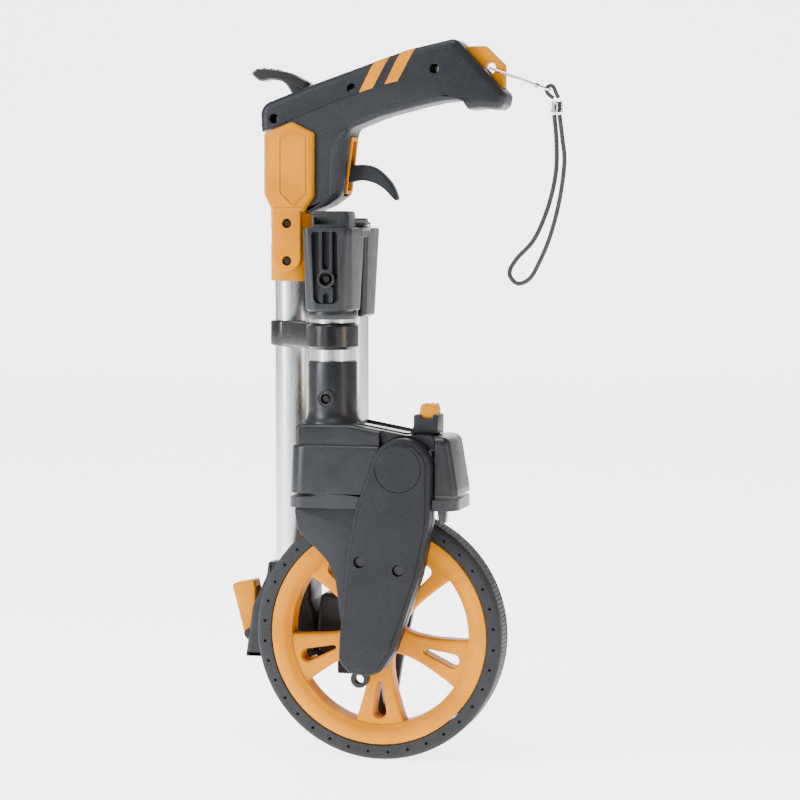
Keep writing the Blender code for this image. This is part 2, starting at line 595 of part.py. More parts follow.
def build_top_hinge():
    """The lower tube's block swings forwards about a pin that lies across the tubes."""
    y, z = TOP_AXIS_Y, TOP_AXIS_Z
    lower = loft("lower_hinge_block", level(-47, -16.6, -17, 16, 9, 9), 199, level(-46.6, -15.2, -20, 17.6, 4, 4),
                 z - 0.2)
    collar = rod("lower_block_collar", (LOWER_X, LOWER_Y, 198.5), (LOWER_X, LOWER_Y, 210), 15.6, 24)
    tongue = box("lower_block_tongue", (-41.2, -17.5, 250), (-17.8, 3, 266.3), 1, 1)
    join(lower, collar, tongue)
    for k, (low, high) in enumerate(((-46.6, -38.3), (-23.7, -15.2))):
        join(lower, rod(f"lower_knuckle_{k}", (low, y, z), (high, y, z), KNUCKLE_R, 16),
             box(f"lower_knuckle_web_{k}", (low, 8, z - KNUCKLE_R), (high, y, z - 0.2)))
    cut(lower, rod("lower_block_bore", (LOWER_X, LOWER_Y, 190), (LOWER_X, LOWER_Y, 238.4), TUBE_R + GAP, 24),
        box("lower_block_recess", (-40.2, -26, 208.4), (-23.7, -14.2, 253.6)),
        box("tongue_slot", (-39.0, -22, 257.8), (-24.0, -12, 262.4)),
        rod("knuckle_room_middle", (-38.6, y, z), (-23.4, y, z), KNUCKLE_R + 0.7, 16),
        rod("lower_block_pin_way", (-55, y, z), (-5, y, z), HINGE_PIN_R + GAP, 16))
    paint(lower, "charcoal")
    middle = loft("middle_hinge_block", level(-47.5, -17, 24, 54.8, 4, 9), 199, level(-49.5, -15.3, 22.4, 58, 3, 6),
                  z - 0.2)
    join(middle, rod("middle_knuckle", (-38.0, y, z), (-24.0, y, z), KNUCKLE_R, 16),
         box("middle_knuckle_web", (-38.0, y, z - KNUCKLE_R), (-24.0, 32, z - 0.2)))
    cut(middle, rod("middle_block_bore", (MIDDLE_X, MIDDLE_Y, 190), (MIDDLE_X, MIDDLE_Y, 236.4), TUBE_R + GAP, 24),
        box("tongue_pocket", (-41.9, 36.2, 245.2), (-17.1, 62, 262)),
        rod("knuckle_room_0", (-52, y, z), (-38.2, y, z), KNUCKLE_R + 0.7, 16),
        rod("knuckle_room_1", (-23.8, y, z), (-12, y, z), KNUCKLE_R + 0.7, 16),
        rod("middle_block_pin_way", (-55, y, z), (-5, y, z), HINGE_PIN_R + GAP, 16))
    py, pz = TOP_LATCH_PIVOT
    for k, (low, high) in enumerate(((-43.5, -39.8), (-24.2, -20.5))):
        join(middle, box(f"top_latch_ear_{k}", (low, 54, pz - 4), (high, py + 3.2, pz + 4)))
    join(middle, rod("top_latch_pin", (-42, py, pz), (-22, py, pz), 1.5, 12))
    paint(middle, "charcoal")
    paint(pivot(rod("top_hinge_pin", (-47.1, y, z), (-13.2, y, z), HINGE_PIN_R, 16), -30, y, z), "steel")
    paint(turned("block_screw", (LOWER_X + 0.5, 0, 224), "Y", [
        (0, -14.5), (2.6, -14.5), (2.6, -16.4), (1.9, -17.0), (0, -17.0)], 14), "black_screw")
    lever = rounded([(59.8, 214, 1.5), (59.8, 250.0, 0.5), (59.4, 254, 0.5), (61.4, 259.5, 1.5), (66.8, 259.5, 1.5),
                     (65.8, 240, 6), (67.4, 232, 6), (65, 214, 1.5)], 30)
    latch = plate("top_latch", lever, "YZ", -39.5, -24.5, 0.6)
    cut(latch, rod("top_latch_bore", (-45, py, pz), (-20, py, pz), 1.8, 12))
    paint(pivot(latch, -32, py, pz), "charcoal")


def build_fold_hinge():
    """The middle tube's block swings sideways about a pin that points at the viewer."""
    x, z = FOLD_X, FOLD_Z
    upper_side = rounded([(-83.5, 39, 2), (-84.5, 30, 12), (-94, 10, 20), (-99, z + 0.2, 1), (x - 0.6, z + 0.2, 0),
                          (x - 0.6, 6, 4), (-54.5, 14, 6), (-54.5, 39, 2)], 24)
    upper = plate("upper_hinge_block", upper_side, "XZ", 24.3, 55.7, 3)
    for k, (low, high) in enumerate(((24.3, 31.8), (48.2, 55.7))):
        join(upper, rod(f"upper_knuckle_{k}", (x, low, z), (x, high, z), KNUCKLE_R, 16))
    cut(upper, rod("upper_block_bore", (UPPER_X, UPPER_Y, 5.4), (UPPER_X, UPPER_Y, 50), TUBE_R + GAP, 24),
        box("fold_tongue_pocket", (-87.3, 30.5, -30), (-62.4, 49.5, -13.2)),
        box("latch_channel", (-112, 32.2, -30), (-86.4, 47.8, 32)),
        rod("upper_knuckle_room", (x, 31.5, z), (x, 48.5, z), KNUCKLE_R + 0.7, 16),
        rod("upper_block_pin_way", (x, 15, z), (x, 65, z), HINGE_PIN_R + GAP, 16))
    lx, lz = LATCH_PIVOT
    join(upper, rod("latch_ear_front", (lx, 27, lz), (lx, 32.2, lz), 4.2, 16),
         rod("latch_ear_rear", (lx, 47.8, lz), (lx, 53, lz), 4.2, 16),
         rod("latch_pin", (lx, 30, lz), (lx, 50, lz), 1.5, 12))
    paint(upper, "charcoal")
    fold_side = rounded([(x + 0.6, z + 0.2, 0), (x + 0.6, 4, 3), (-47.5, 20, 3), (-16.5, 20, 3), (-14.5, 4, 6),
                         (-14.5, z + 0.2, 0)], 24)
    fold = plate("fold_hinge_block", fold_side, "XZ", 24.3, 55.7, 3)
    tongue = box("fold_tongue", (-38.2, 31, -33.5), (-15.5, 49, -20), 1, 1)
    join(fold, tongue, rod("fold_knuckle", (x, 32.2, z), (x, 47.8, z), KNUCKLE_R, 16))
    cut(fold, rod("fold_block_bore", (MIDDLE_X, MIDDLE_Y, 0.4), (MIDDLE_X, MIDDLE_Y, 30), TUBE_R + GAP, 24),
        rod("fold_knuckle_room_0", (x, 20, z), (x, 32.0, z), KNUCKLE_R + 0.7, 16),
        rod("fold_knuckle_room_1", (x, 48.0, z), (x, 60, z), KNUCKLE_R + 0.7, 16),
        rod("fold_block_pin_way", (x, 15, z), (x, 65, z), HINGE_PIN_R + GAP, 16))
    paint(fold, "charcoal")
    pin = turned("fold_hinge_pin", (x, 0, z), "Y", [
        (0, 57.6), (3.4, 57.6), (3.9, 56.8), (3.9, 56.1), (HINGE_PIN_R, 56.0), (HINGE_PIN_R, 24.0), (3.9, 23.9),
        (3.9, 23.2), (3.4, 22.6), (0, 22.6)], 20)
    paint(pin, "steel")
    wedge = rounded([(-110.5, 22.5, 2), (-95.5, 25.5, 1.5), (-94.2, 20, 1.5), (-94.2, -16, 2.5), (-98.5, -16, 2.5),
                     (-101.5, -12, 4)], 30)
    latch = plate("fold_latch", wedge, "XZ", 32.8, 47.2, 0.8)
    cut(latch, box("latch_hollow", (-105, 35.2, -2), (-90, 44.8, 21)),
        rod("latch_bore", (lx, 25, lz), (lx, 55, lz), 1.9, 12))
    paint(pivot(latch, lx, 40, lz), "orange")


def build_clip():
    """A spring clip on the lower tube, with an open jaw that holds the folded upper tube."""
    low, high = 179.5, 196.0
    clip = ring("tube_clip", (LOWER_X, LOWER_Y, 0), "Z", 16.4, TUBE_R + GAP, low, high, 24)
    inner, outer = TUBE_R + GAP, TUBE_R + 3.0
    jaw = []
    first, last = math.radians(172), math.radians(318)
    pieces = 10
    for k in range(pieces + 1):
        angle = first + (last - first) * k / pieces
        jaw.append((UPPER_X + outer * math.cos(angle), UPPER_Y + outer * math.sin(angle)))
    for k in range(pieces + 1):
        angle = last + (first - last) * k / pieces
        jaw.append((UPPER_X + inner * math.cos(angle), UPPER_Y + inner * math.sin(angle)))
    arm = rounded([(-74, 25.6, 1), (-47.4, -3, 0), (-45.2, 4, 0), (-47, 8, 0), (-63, 27.6, 1)], 30)
    join(clip, plate("clip_jaw", jaw, "XY", low, high), plate("clip_arm", arm, "XY", low, high))
    cut(clip, rod("clip_bore", (LOWER_X, LOWER_Y, 170), (LOWER_X, LOWER_Y, 205), TUBE_R + GAP, 24),
        rod("clip_jaw_bore", (UPPER_X, UPPER_Y, 170), (UPPER_X, UPPER_Y, 205), TUBE_R + GAP, 24))
    paint(clip, "charcoal")


# ---------------------------------------------------------------- handle

SPINE_TOP = [(-87.6, 321, 6), (-88.0, 334.5, 15), (-55.7, 346.4, 60), (-7.3, 362.8, 90), (10.2, 368.6, 60),
             (40.5, 375.2, 6), (73.6, 339.5, 5), (71.3, 329.8, 7), (57.0, 331.0, 14)]
SEAM = [(43, 336.6), (35, 339.4), (25, 343.2), (16, 346.4), (8, 348.4), (0, 347.8), (-12, 344.5), (-27, 339.8),
        (-52, 330.8), (-77, 320.9)]
SPINE_SCREWS = {"end": (-78.0, 325.6), "middle": (-26.5, 344.4), "nose": (27.5, 356.0)}


def spine_outline():
    """Return the upper cover of the handle, from its round end to its nose."""
    corners = SPINE_TOP + [(a, b, 12) for a, b in SEAM] + [(-85.8, 317.3, 3)]
    return rounded(corners, 26)


def grip_outline():
    """Return the grip under the cover, down to the trigger's housing."""
    seam = [(a, b - GAP, 12) for a, b in reversed(SEAM[:-1])]
    corners = [(-64.9, 324.9, 0)] + seam + [
        (14.6, 332.0, 60), (-7.4, 326.4, 60), (-28.0, 318.6, 8), (-29.0, 311.5, 8),
        (-33.0, 277.0, 8), (-43.0, 270.3, 8), (-52.3, 265.8, 0), (-50.6, 275.6, 0), (-50.6, 316.9, 0)]
    return rounded(corners, 26)


def shell_halves(names, outline, inside, finish, edge, bosses, cutters):
    """Make a hollow handle moulding in two halves; bosses and cutters are makers with their values."""
    front, rear = HANDLE_Y - HANDLE_HALF, HANDLE_Y + HANDLE_HALF
    for name, low, high in ((names[0], front - 5, HANDLE_Y - GAP / 2), (names[1], HANDLE_Y + GAP / 2, rear + 5)):
        shell = plate(name, outline, "XZ", front, rear, edge)
        cut(shell, plate(f"{name}_hollow", inside, "XZ", front + WALL, rear - WALL))
        join(shell, *[make(f"{name}_boss_{k}", *values) for k, (make, values) in enumerate(bosses)])
        cut(shell, *[make(f"{name}_cut_{k}", *values) for k, (make, values) in enumerate(cutters)])
        keep(shell, box(f"{name}_half", (-140, low, 250), (120, high, 390)))
        paint(shell, finish)


def build_spine():
    hollow = rounded([(-84, 325, 4), (-80, 330.5, 4), (-54, 341.5, 40), (-7, 357.5, 60), (11, 363.5, 40),
                      (38, 369, 4), (65, 339.5, 3), (58, 337, 8), (36, 345, 8), (10, 352.5, 12), (-12, 349.5, 20),
                      (-54, 336, 20), (-79, 325, 3)], 40)
    px, pz = THUMB_PIVOT
    cutters = [(box, ((-72.5, 33.4, 332), (-53, 46.6, 356))), (plate, (insert_outline(0.4), "XZ", 35.6, 44.4))]
    cutters += [(rod, ((x, 15.2, z), (x, 38.9, z), 3.1, 14)) for x, z in SPINE_SCREWS.values()]
    trunnion = (rod, ((px, 26.5, pz), (px, 53.5, pz), 1.2, 12))
    shell_halves(("spine_front", "spine_rear"), spine_outline(), hollow, "charcoal", 6, [trunnion], cutters)
    for name, (x, z) in SPINE_SCREWS.items():
        paint(turned(f"spine_screw_{name}", (x, 0, z), "Y", [
            (0, 38.5), (2.6, 38.5), (2.6, 35.5), (1.9, 34.9), (0, 34.9)], 14), "steel")
    insert = plate("eyelet_insert", insert_outline(0), "XZ", 36, 44, 0.8)
    cut(insert, rod("eyelet_hole", (61.5, 30, 356.5), (61.5, 50, 356.5), 3.6, 18))
    paint(insert, "orange")


def build_grip():
    hollow = rounded([(-54, 322, 3), (-20, 335.5, 20), (8, 342.5, 10), (12, 336, 5), (-9, 330, 20), (-32, 319, 6),
                      (-37, 280, 4), (-44, 275.5, 3), (-48, 275.5, 2), (-48, 317, 2)], 40)
    x, z = TRIGGER_PIVOT
    boss = (rod, ((x, 26.5, z), (x, 53.5, z), 3.4, 14))
    cutters = [(plate, (slot_frame(3 + GAP, 8), "XZ", 33 - GAP, 47 + GAP)),
               (box, ((x - 4.9, 35.4, z - 6), (x + 5, 44.6, z + 6))),
               (rod, ((x, 28.2, z), (x, 51.8, z), 1.8, 12))]
    shell_halves(("grip_front", "grip_rear"), grip_outline(), hollow, "grip", 0, [boss], cutters)
    bezel = plate("trigger_bezel", slot_frame(0, 5), "XZ", 33, 47)
    room = plate("trigger_way", slot_frame(3, 12), "XZ", 35.4, 44.6)
    keep(room, box("trigger_window", (-47, 20, 279.6), (-17, 60, 311.2)))
    paint(cut(bezel, room), "orange")


def insert_outline(grow):
    """Return the eyelet plate that sticks out of the handle's nose."""
    g = grow
    return rounded([(38 - g, 360, 0), (44.5 - g, 370.4 + g, 1.5), (58.3 + g, 370.4 + g, 2.5),
                    (70.6 + g, 358.3 + g, 2.5), (70.6 + g, 344 - g, 0), (60 - g, 342 - g, 0)], 30)


def slot_frame(grow, thick):
    """Return the leaning strip that the trigger's slot follows."""
    top, foot = (-27.7, 313.6), (-32.1, 277.4)
    return [(top[0] + grow, top[1] + grow), (top[0] - thick, top[1] + grow), (foot[0] - thick, foot[1] - grow),
            (foot[0] + grow, foot[1] - grow)]


def build_yoke():
    """Orange clamshell that joins the handle to the upper tube."""
    head = rounded([(-65.8, 323.4, 1.5), (-51.1, 316.2, 1.5), (-51.1, 276.0, 2), (-57.6, 266, 0),
                    (-78.8, 266, 0), (-84.4, 277, 2), (-84.4, 316.2, 1.5)], 40)
    collar = rounded([(-83.2, 25.4, 11), (-54.8, 25.4, 11), (-54.8, 54.6, 11), (-83.2, 54.6, 11)])
    pad = rounded([(-59.8, 270, 0), (-59.8, 227.5, 9), (-78.4, 227.5, 9), (-78.4, 270, 0)], 30)
    spots = ((-69, 258.5), (-69, 234.5))
    for name, low, high in (("yoke_front", 20, 39.85), ("yoke_rear", 40.15, 60)):
        yoke = plate(name, head, "XZ", 22, 58, 2.5)
        join(yoke, plate(f"{name}_collar", collar, "XY", 221.5, 272), plate(f"{name}_pad", pad, "XZ", 22.6, 57.4))
        cut(yoke, rod(f"{name}_bore", (UPPER_X, UPPER_Y, 210), (UPPER_X, UPPER_Y, 300.4), TUBE_R + GAP, 24))
        cut(yoke, *[rod(f"{name}_well_{k}", (x, 15, z), (x, 26, z), 3.1, 14) for k, (x, z) in enumerate(spots)])
        keep(yoke, box(f"{name}_half", (-110, low, 200), (-30, high, 340)))
        paint(yoke, "orange")
    for name, (x, z) in zip(("upper", "lower"), spots):
        paint(turned(f"yoke_screw_{name}", (x, 0, z), "Y", [
            (0, 25.7), (2.7, 25.7), (2.7, 24.2), (1.9, 23.6), (0, 23.6)], 14), "black_screw")


def build_levers():
    blade = smooth([(-40.1, 286.0), (-32.1, 284.6), (-23.6, 286.0), (-15.3, 284.4), (-8.5, 280.6), (-3.3, 275.4),
                    (-0.7, 273.2), (0.8, 274.8), (-2.5, 283.2), (-8.5, 290.2), (-14.7, 294.6), (-22.1, 296.2),
                    (-32.1, 295.6), (-40.1, 296.0)], 2)
    blade += [(-45.9, 294.2), (-48.7, 290), (-45.9, 285.8)]
    trigger = plate("trigger", blade, "XZ", 36, 44, 1.2)
    px, pz = TRIGGER_PIVOT
    cut(trigger, rod("trigger_bore", (px, 30, pz), (px, 50, pz), 1.8, 12))
    paint(pivot(trigger, px, HANDLE_Y, pz), "charcoal")
    paint(rod("trigger_pin", (px, 28.5, pz), (px, 51.5, pz), 1.5, 12), "steel")
    top = [(-95.6, 354.6), (-93.6, 357.4), (-89, 358.4), (-80, 357.6), (-70, 355.6), (-63, 352), (-56.4, 347)]
    under = [(-58.5, 333.5), (-62.5, 334.0), (-68, 340.6), (-74, 348.8), (-83, 351), (-90, 350.2)]
    lever = plate("thumb_lever", smooth(top + under, 2, closed=True), "XZ", 34, 46, 1.0)
    px, pz = THUMB_PIVOT
    cut(lever, rod("thumb_bore", (px, 30, pz), (px, 50, pz), 1.5, 12))
    paint(pivot(lever, px, HANDLE_Y, pz), "charcoal")


# ---------------------------------------------------------------- wrist strap

HOOK_START, HOOK_END = Vector((61.5, 40, 356.5)), Vector((99.0, 40, 342.4))
STRAP = [(101.9, 40, 326.8), (103.4, 40, 309), (102.9, 40.4, 290), (98.0, 41, 269), (89.0, 41.6, 248.5),
         (77.5, 41.6, 235.8), (73.2, 41, 226.8), (78.6, 40, 220.4), (86.6, 39.2, 223.6), (92.6, 38.8, 233.5),
         (99.6, 38.8, 250), (105.6, 39, 273), (108.6, 39.4, 297), (107.1, 40, 312), (105.2, 40, 326.8)]
EYE = [(101.4, 40, 337.3), (99.0, 40, 338.9), (97.0, 40, 341.2), (97.3, 40, 343.9), (99.3, 40, 345.2),
       (101.4, 40, 344.0), (102.7, 40, 341.0), (103.7, 40, 338.9), (104.6, 40, 337.3)]


def build_strap():
    along = (HOOK_END - HOOK_START).normalized()
    length = (HOOK_END - HOOK_START).length
    side = rounded([(0, -5.8, 1.5), (length, -3.2, 3.1), (length, 3.2, 3.1), (0, 5.8, 1.5)], 30)
    loop = [tuple(HOOK_START + along * s + Vector((0, w, 0))) for s, w in side]
    paint(wire("snap_hook", loop, 0.9, closed=True), "chrome")
    paint(box("strap_ferrule", (99.6, 37.8, 327.2), (107.2, 42.2, 335.6), 0.8, 1), "chrome")
    paint(wire("strap_cord", smooth(STRAP, 3), 1.45), "cord")
    paint(wire("strap_top_loop", smooth(EYE, 2), 1.3), "cord")


def hang(name, x, y, z, pieces):
    """Hang pieces from an empty on their joint's axis, leaving them where they are."""
    holder = bpy.data.objects.new(name, None)
    holder.location = point(x, y, z)
    PARTS.objects.link(holder)
    for piece in pieces:
        child = bpy.data.objects[piece]
        child.parent = holder
        child.matrix_parent_inverse = Matrix.Translation(-point(x, y, z))


build_wheel()
build_fork()
build_cover()
build_counter()
build_housing()
build_tubes()
build_top_hinge()
build_fold_hinge()
build_clip()
build_spine()
build_grip()
build_yoke()
build_levers()
build_strap()
hang("fold_axis", FOLD_X, HANDLE_Y, FOLD_Z, ("middle_tube", "middle_hinge_block", "fold_hinge_block"))
hang("top_fold_axis", LOWER_X, TOP_AXIS_Y, TOP_AXIS_Z, (
    "lower_tube", "lower_hinge_block", "block_screw", "counter_housing", "counter_window", "housing_base",
    "front_cover", "socket_screw", "reset_collar", "gear_cover", "cover_screw_left", "cover_screw_right",
    "fork_arm", "rear_arm", "drive_belt", "reset_spring"))
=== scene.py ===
import math

import bmesh
import bpy
from mathutils import Matrix, Vector


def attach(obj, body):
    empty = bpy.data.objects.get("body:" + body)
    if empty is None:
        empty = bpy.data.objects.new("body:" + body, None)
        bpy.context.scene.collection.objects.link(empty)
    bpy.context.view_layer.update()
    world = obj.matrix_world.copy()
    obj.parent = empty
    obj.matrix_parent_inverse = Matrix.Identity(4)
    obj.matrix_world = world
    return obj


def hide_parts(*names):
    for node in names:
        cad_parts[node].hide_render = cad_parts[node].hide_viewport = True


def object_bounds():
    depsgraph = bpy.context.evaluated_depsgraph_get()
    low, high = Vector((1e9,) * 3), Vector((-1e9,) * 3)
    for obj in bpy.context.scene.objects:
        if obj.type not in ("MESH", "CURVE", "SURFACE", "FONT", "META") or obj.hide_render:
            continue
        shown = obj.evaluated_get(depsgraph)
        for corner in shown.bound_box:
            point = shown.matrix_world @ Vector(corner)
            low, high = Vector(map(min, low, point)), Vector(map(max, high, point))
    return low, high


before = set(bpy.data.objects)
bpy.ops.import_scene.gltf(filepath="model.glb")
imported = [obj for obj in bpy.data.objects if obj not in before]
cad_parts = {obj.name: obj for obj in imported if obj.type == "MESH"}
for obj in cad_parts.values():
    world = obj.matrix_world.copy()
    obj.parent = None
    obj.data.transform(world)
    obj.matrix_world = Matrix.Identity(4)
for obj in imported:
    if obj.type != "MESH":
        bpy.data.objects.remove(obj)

CAD_BOX = [list(corner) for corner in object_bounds()]

MM = 0.001
COVER_Y = -30.0                # the gear cover's outer face, in millimetres from the hub
GAP = 0.3
TUBE_R, TUBE_BORE_R = 12.5, 11.3
LOWER, MIDDLE, UPPER = (-32.0, 0.0), (-32.0, 40.0), (-69.0, 40.0)    # the tubes' centres, X and Y
TYRE_R = 79.58
RIM_R = 69.7
RIM_INNER_R = 57.5
SPOKES = 5
COUNTER_X, COUNTER_Z = 18.5, 106.5
TOP_AXIS_Y, TOP_AXIS_Z = 20.0, 256.0
FOLD_X, FOLD_Z = -50.5, -24.0
KNUCKLE_R, HINGE_PIN_R = 6.0, 2.2
HANDLE_Y, HANDLE_HALF = 40.0, 15.0
TRIGGER_PIVOT = (-44.6, 290.0)               # X and Z
THUMB_PIVOT = (-60.0, 336.5)
FOLD_LATCH_PIVOT = (-97.0, -9.0)
TOP_LATCH_PIVOT = (63.4, 232.0)              # Y and Z
EYELET = (61.5, 356.5)
BLOCK_BOSS = (-31.5, 224.0)
SOCKET_SCREW_Z = 149.0


def at(x, y, z):
    """Turn millimetres from the hub into the frame's metres."""
    return Vector((x, y - COVER_Y, z)) * MM


# -------------------- camera

CAMERA_PLACE = (0.3915, -1.4902, 0.2594)
CAMERA_TURN = Matrix(((0.9702, -0.0172, 0.2418), (0.2424, 0.0689, -0.9677), (0.0, 0.9975, 0.0710)))


def make_camera():
    data = bpy.data.cameras.new("camera")
    data.lens = 112.5
    data.sensor_width = 36.0
    data.clip_end = 50.0
    camera = bpy.data.objects.new("camera", data)
    camera.matrix_world = Matrix.Translation(CAMERA_PLACE) @ CAMERA_TURN.to_4x4()
    bpy.context.scene.collection.objects.link(camera)
    bpy.context.scene.camera = camera


make_camera()


# -------------------- materials

class Finish:
    """A node material that is put together step by step."""

    def __init__(self, name):
        self.material = bpy.data.materials.new(name)
        self.material.use_nodes = True
        self.nodes = self.material.node_tree.nodes
        self.links = self.material.node_tree.links
        self.shader = self.nodes["Principled BSDF"]
        self.place = self.nodes.new("ShaderNodeTexCoord").outputs["Object"]

    def put(self, socket, value):
        """Set a socket to a number, a vector or a colour, or link another socket to it."""
        if isinstance(value, bpy.types.NodeSocket):
            self.links.new(value, socket)
        elif socket.type == "RGBA":
            socket.default_value = (*value, 1.0)
        else:
            socket.default_value = value

    def add(self, kind, output, inputs, **settings):
        """Add a node with its settings and inputs, and return one of its outputs."""
        node = self.nodes.new(kind)
        for name, value in settings.items():
            setattr(node, name, value)
        for name, value in inputs.items():
            self.put(node.inputs[name], value)
        return node.outputs[output]

    def give(self, name, value):
        self.put(self.shader.inputs[name], value)

    def stretched(self, scale):
        """Return the object's coordinates stretched along the axes."""
        return self.add("ShaderNodeMapping", "Vector", {"Scale": scale, "Vector": self.place})

    def noise(self, per_metre, detail=3.0, roughness=0.55, where=None):
        return self.add("ShaderNodeTexNoise", "Fac", {
            "Scale": per_metre, "Detail": detail, "Roughness": roughness, "Vector": where or self.place})

    def cells(self, per_metre):
        return self.add("ShaderNodeTexVoronoi", "Distance", {"Scale": per_metre, "Vector": self.place})

    def ranged(self, value, low, high, out_low, out_high):
        return self.add("ShaderNodeMapRange", "Result", {
            "From Min": low, "From Max": high, "To Min": out_low, "To Max": out_high, "Value": value})

    def mixed(self, factor, first, second):
        """Mix two colours; each is a colour or a socket."""
        return self.add("ShaderNodeMix", 2, {"Factor": factor, 6: first, 7: second}, data_type="RGBA")

    def scaled(self, colour, factor):
        """Return a colour socket made darker or lighter."""
        return self.add("ShaderNodeVectorMath", 0, {"Scale": factor, 0: colour}, operation="SCALE")

    def bumped(self, height, distance, strength=1.0, under=None):
        inputs = {"Distance": distance, "Strength": strength, "Height": height}
        if under:
            inputs["Normal"] = under
        return self.add("ShaderNodeBump", "Normal", inputs)

    def softened(self, radius):
        """Return normals that round every sharp edge by a small radius."""
        return self.add("ShaderNodeBevel", "Normal", {"Radius": radius}, samples=6)


def shade(colour, factor):
    return tuple(min(1.0, c * factor) for c in colour)


def moulded(name, colour, roughness, grain=1500.0, depth=0.00008, specks=0.0, rounding=0.0004, speckle=0.0,
             shine=0.32, coat=0.0):
    """Injection-moulded plastic with a fine grain, faint mottling and, if wanted, pale dust specks."""
    finish = Finish(name)
    mottle = finish.noise(38.0, 4.0)
    tint = finish.mixed(finish.ranged(mottle, 0.3, 0.7, 0.0, 1.0), shade(colour, 0.86), shade(colour, 1.14))
    if speckle:
        fine = finish.ranged(finish.noise(1150.0, 3.0, 0.7), 0.36, 0.64, 0.0, 1.0)
        tint = finish.mixed(fine, finish.scaled(tint, 1.0 - speckle), finish.scaled(tint, 1.0 + speckle))
    if specks:
        dust = finish.ranged(finish.noise(900.0, 2.0), 0.74, 0.80, 0.0, specks)
        tint = finish.mixed(dust, tint, (0.32, 0.33, 0.34))
    finish.give("Base Color", tint)
    finish.give("Specular IOR Level", shine)
    rub = finish.noise(120.0, 5.0)
    finish.give("Roughness", finish.ranged(rub, 0.3, 0.7, roughness - 0.05, roughness + 0.07))
    round_edges = finish.softened(rounding)
    grainy = finish.bumped(finish.noise(grain, 2.0), depth, 1.0, round_edges)
    wavy = finish.bumped(finish.noise(55.0, 2.0), 0.00012, 0.5, grainy)
    finish.give("Normal", wavy)
    finish.give("Coat Weight", coat)
    return finish.material


def metal(name, colour, roughness, lengthwise=(1.0, 1.0, 1.0), depth=0.00003):
    """Drawn or turned metal, with a grain that the stretch lays along one axis."""
    finish = Finish(name)
    grain = finish.noise(1500.0, 3.0, 0.6, finish.stretched(lengthwise))
    haze = finish.noise(60.0, 4.0)
    finish.give("Base Color", finish.mixed(haze, shade(colour, 0.90), colour))
    finish.give("Metallic", 1.0)
    finish.give("Roughness", finish.ranged(grain, 0.25, 0.75, roughness - 0.07, roughness + 0.09))
    finish.give("Normal", finish.bumped(grain, depth, 0.7, finish.softened(0.00025)))
    return finish.material


def braided(name, colour):
    """Round braided cord: small diamond stitches along its length, with painted highlights on their tops and
    painted shade in the gaps between them.
    """
    finish = Finish(name)
    stitch = finish.cells(1150.0)
    # Painted light: each stitch is lighter at its centre (painted highlight) and darker at its edges (painted
    # shade in the gaps).
    tint = finish.mixed(finish.ranged(stitch, 0.1, 0.6, 0.0, 1.0), shade(colour, 1.9), shade(colour, 0.6))
    finish.give("Base Color", tint)
    finish.give("Roughness", finish.ranged(finish.noise(400.0), 0.3, 0.7, 0.72, 0.92))
    finish.give("Normal", finish.bumped(stitch, 0.0004, 0.9))
    finish.give("Sheen Weight", 0.25)
    return finish.material


CHARCOAL = (0.0125, 0.0138, 0.0165)
ORANGE = (0.56, 0.195, 0.0)

charcoal = moulded("charcoal_plastic", CHARCOAL, 0.42, specks=0.06, speckle=0.3, shine=0.22)
satin_charcoal = moulded("satin_charcoal_plastic", (0.011, 0.012, 0.014), 0.33, depth=0.00006, speckle=0.2,
                         shine=0.36)
grained = moulded("grained_cover_plastic", (0.0135, 0.0145, 0.0165), 0.50, 1300.0, 0.00014, specks=0.2,
                  speckle=0.35, shine=0.14)
soft_grip = moulded("soft_grip_plastic", (0.0135, 0.0150, 0.0180), 0.48, 1400.0, 0.0001, specks=0.12,
                    rounding=0.0006, speckle=0.3, shine=0.24)
glossy_black = moulded("glossy_black_plastic", (0.006, 0.006, 0.007), 0.24, 900.0, 0.00003, shine=0.5)
rubber = moulded("tyre_rubber", (0.009, 0.0098, 0.0115), 0.60, 1300.0, 0.0001, specks=0.12, rounding=0.0003,
                 speckle=0.3)
orange = moulded("orange_plastic", ORANGE, 0.42, 1500.0, 0.00003, rounding=0.0005, shine=0.08)
aluminium = metal("satin_aluminium", (0.66, 0.66, 0.655), 0.30, (1.0, 1.0, 0.06), 0.000008)
steel = metal("bright_steel", (0.66, 0.66, 0.67), 0.26)
black_steel = metal("blackened_screw_steel", (0.035, 0.034, 0.035), 0.34)
chrome = metal("polished_chrome", (0.88, 0.87, 0.86), 0.12, depth=0.00001)
brass = metal("plain_brass", (0.78, 0.57, 0.25), 0.32)
white_plastic = moulded("white_counter_plastic", (0.80, 0.80, 0.77), 0.45, 900.0, 0.00003)
cord_braid = braided("braided_black_cord", (0.020, 0.021, 0.023))
lens = moulded("dark_clear_window", (0.030, 0.032, 0.036), 0.10, 300.0, 0.00001, coat=0.2)
belt_rubber = moulded("belt_rubber", (0.020, 0.020, 0.021), 0.66, 1200.0, 0.0001)


# -------------------- outlines

def rounded(corners, step=9.0):
    """Return an outline with each corner (a, b, radius) rounded by an arc."""
    outline = []
    count = len(corners)
    for i, (a, b, radius) in enumerate(corners):
        here = Vector((a, b))
        before = Vector(corners[i - 1][:2]) - here
        after = Vector(corners[(i + 1) % count][:2]) - here
        turn = math.pi - before.angle(after)
        if radius <= 0 or turn < 0.01:
            outline.append((a, b))
            continue
        reach = min(radius * math.tan(turn / 2), 0.49 * before.length, 0.49 * after.length)
        radius = reach / math.tan(turn / 2)
        start = here + before.normalized() * reach
        bisector = (before.normalized() + after.normalized()).normalized()
        centre = here + bisector * math.hypot(reach, radius)
        first = math.atan2(start.y - centre.y, start.x - centre.x)
        side = 1 if before.x * after.y - before.y * after.x < 0 else -1
        pieces = max(1, round(math.degrees(turn) / step))
        for k in range(pieces + 1):
            angle = first + side * turn * k / pieces
            outline.append((centre.x + radius * math.cos(angle), centre.y + radius * math.sin(angle)))
    return outline


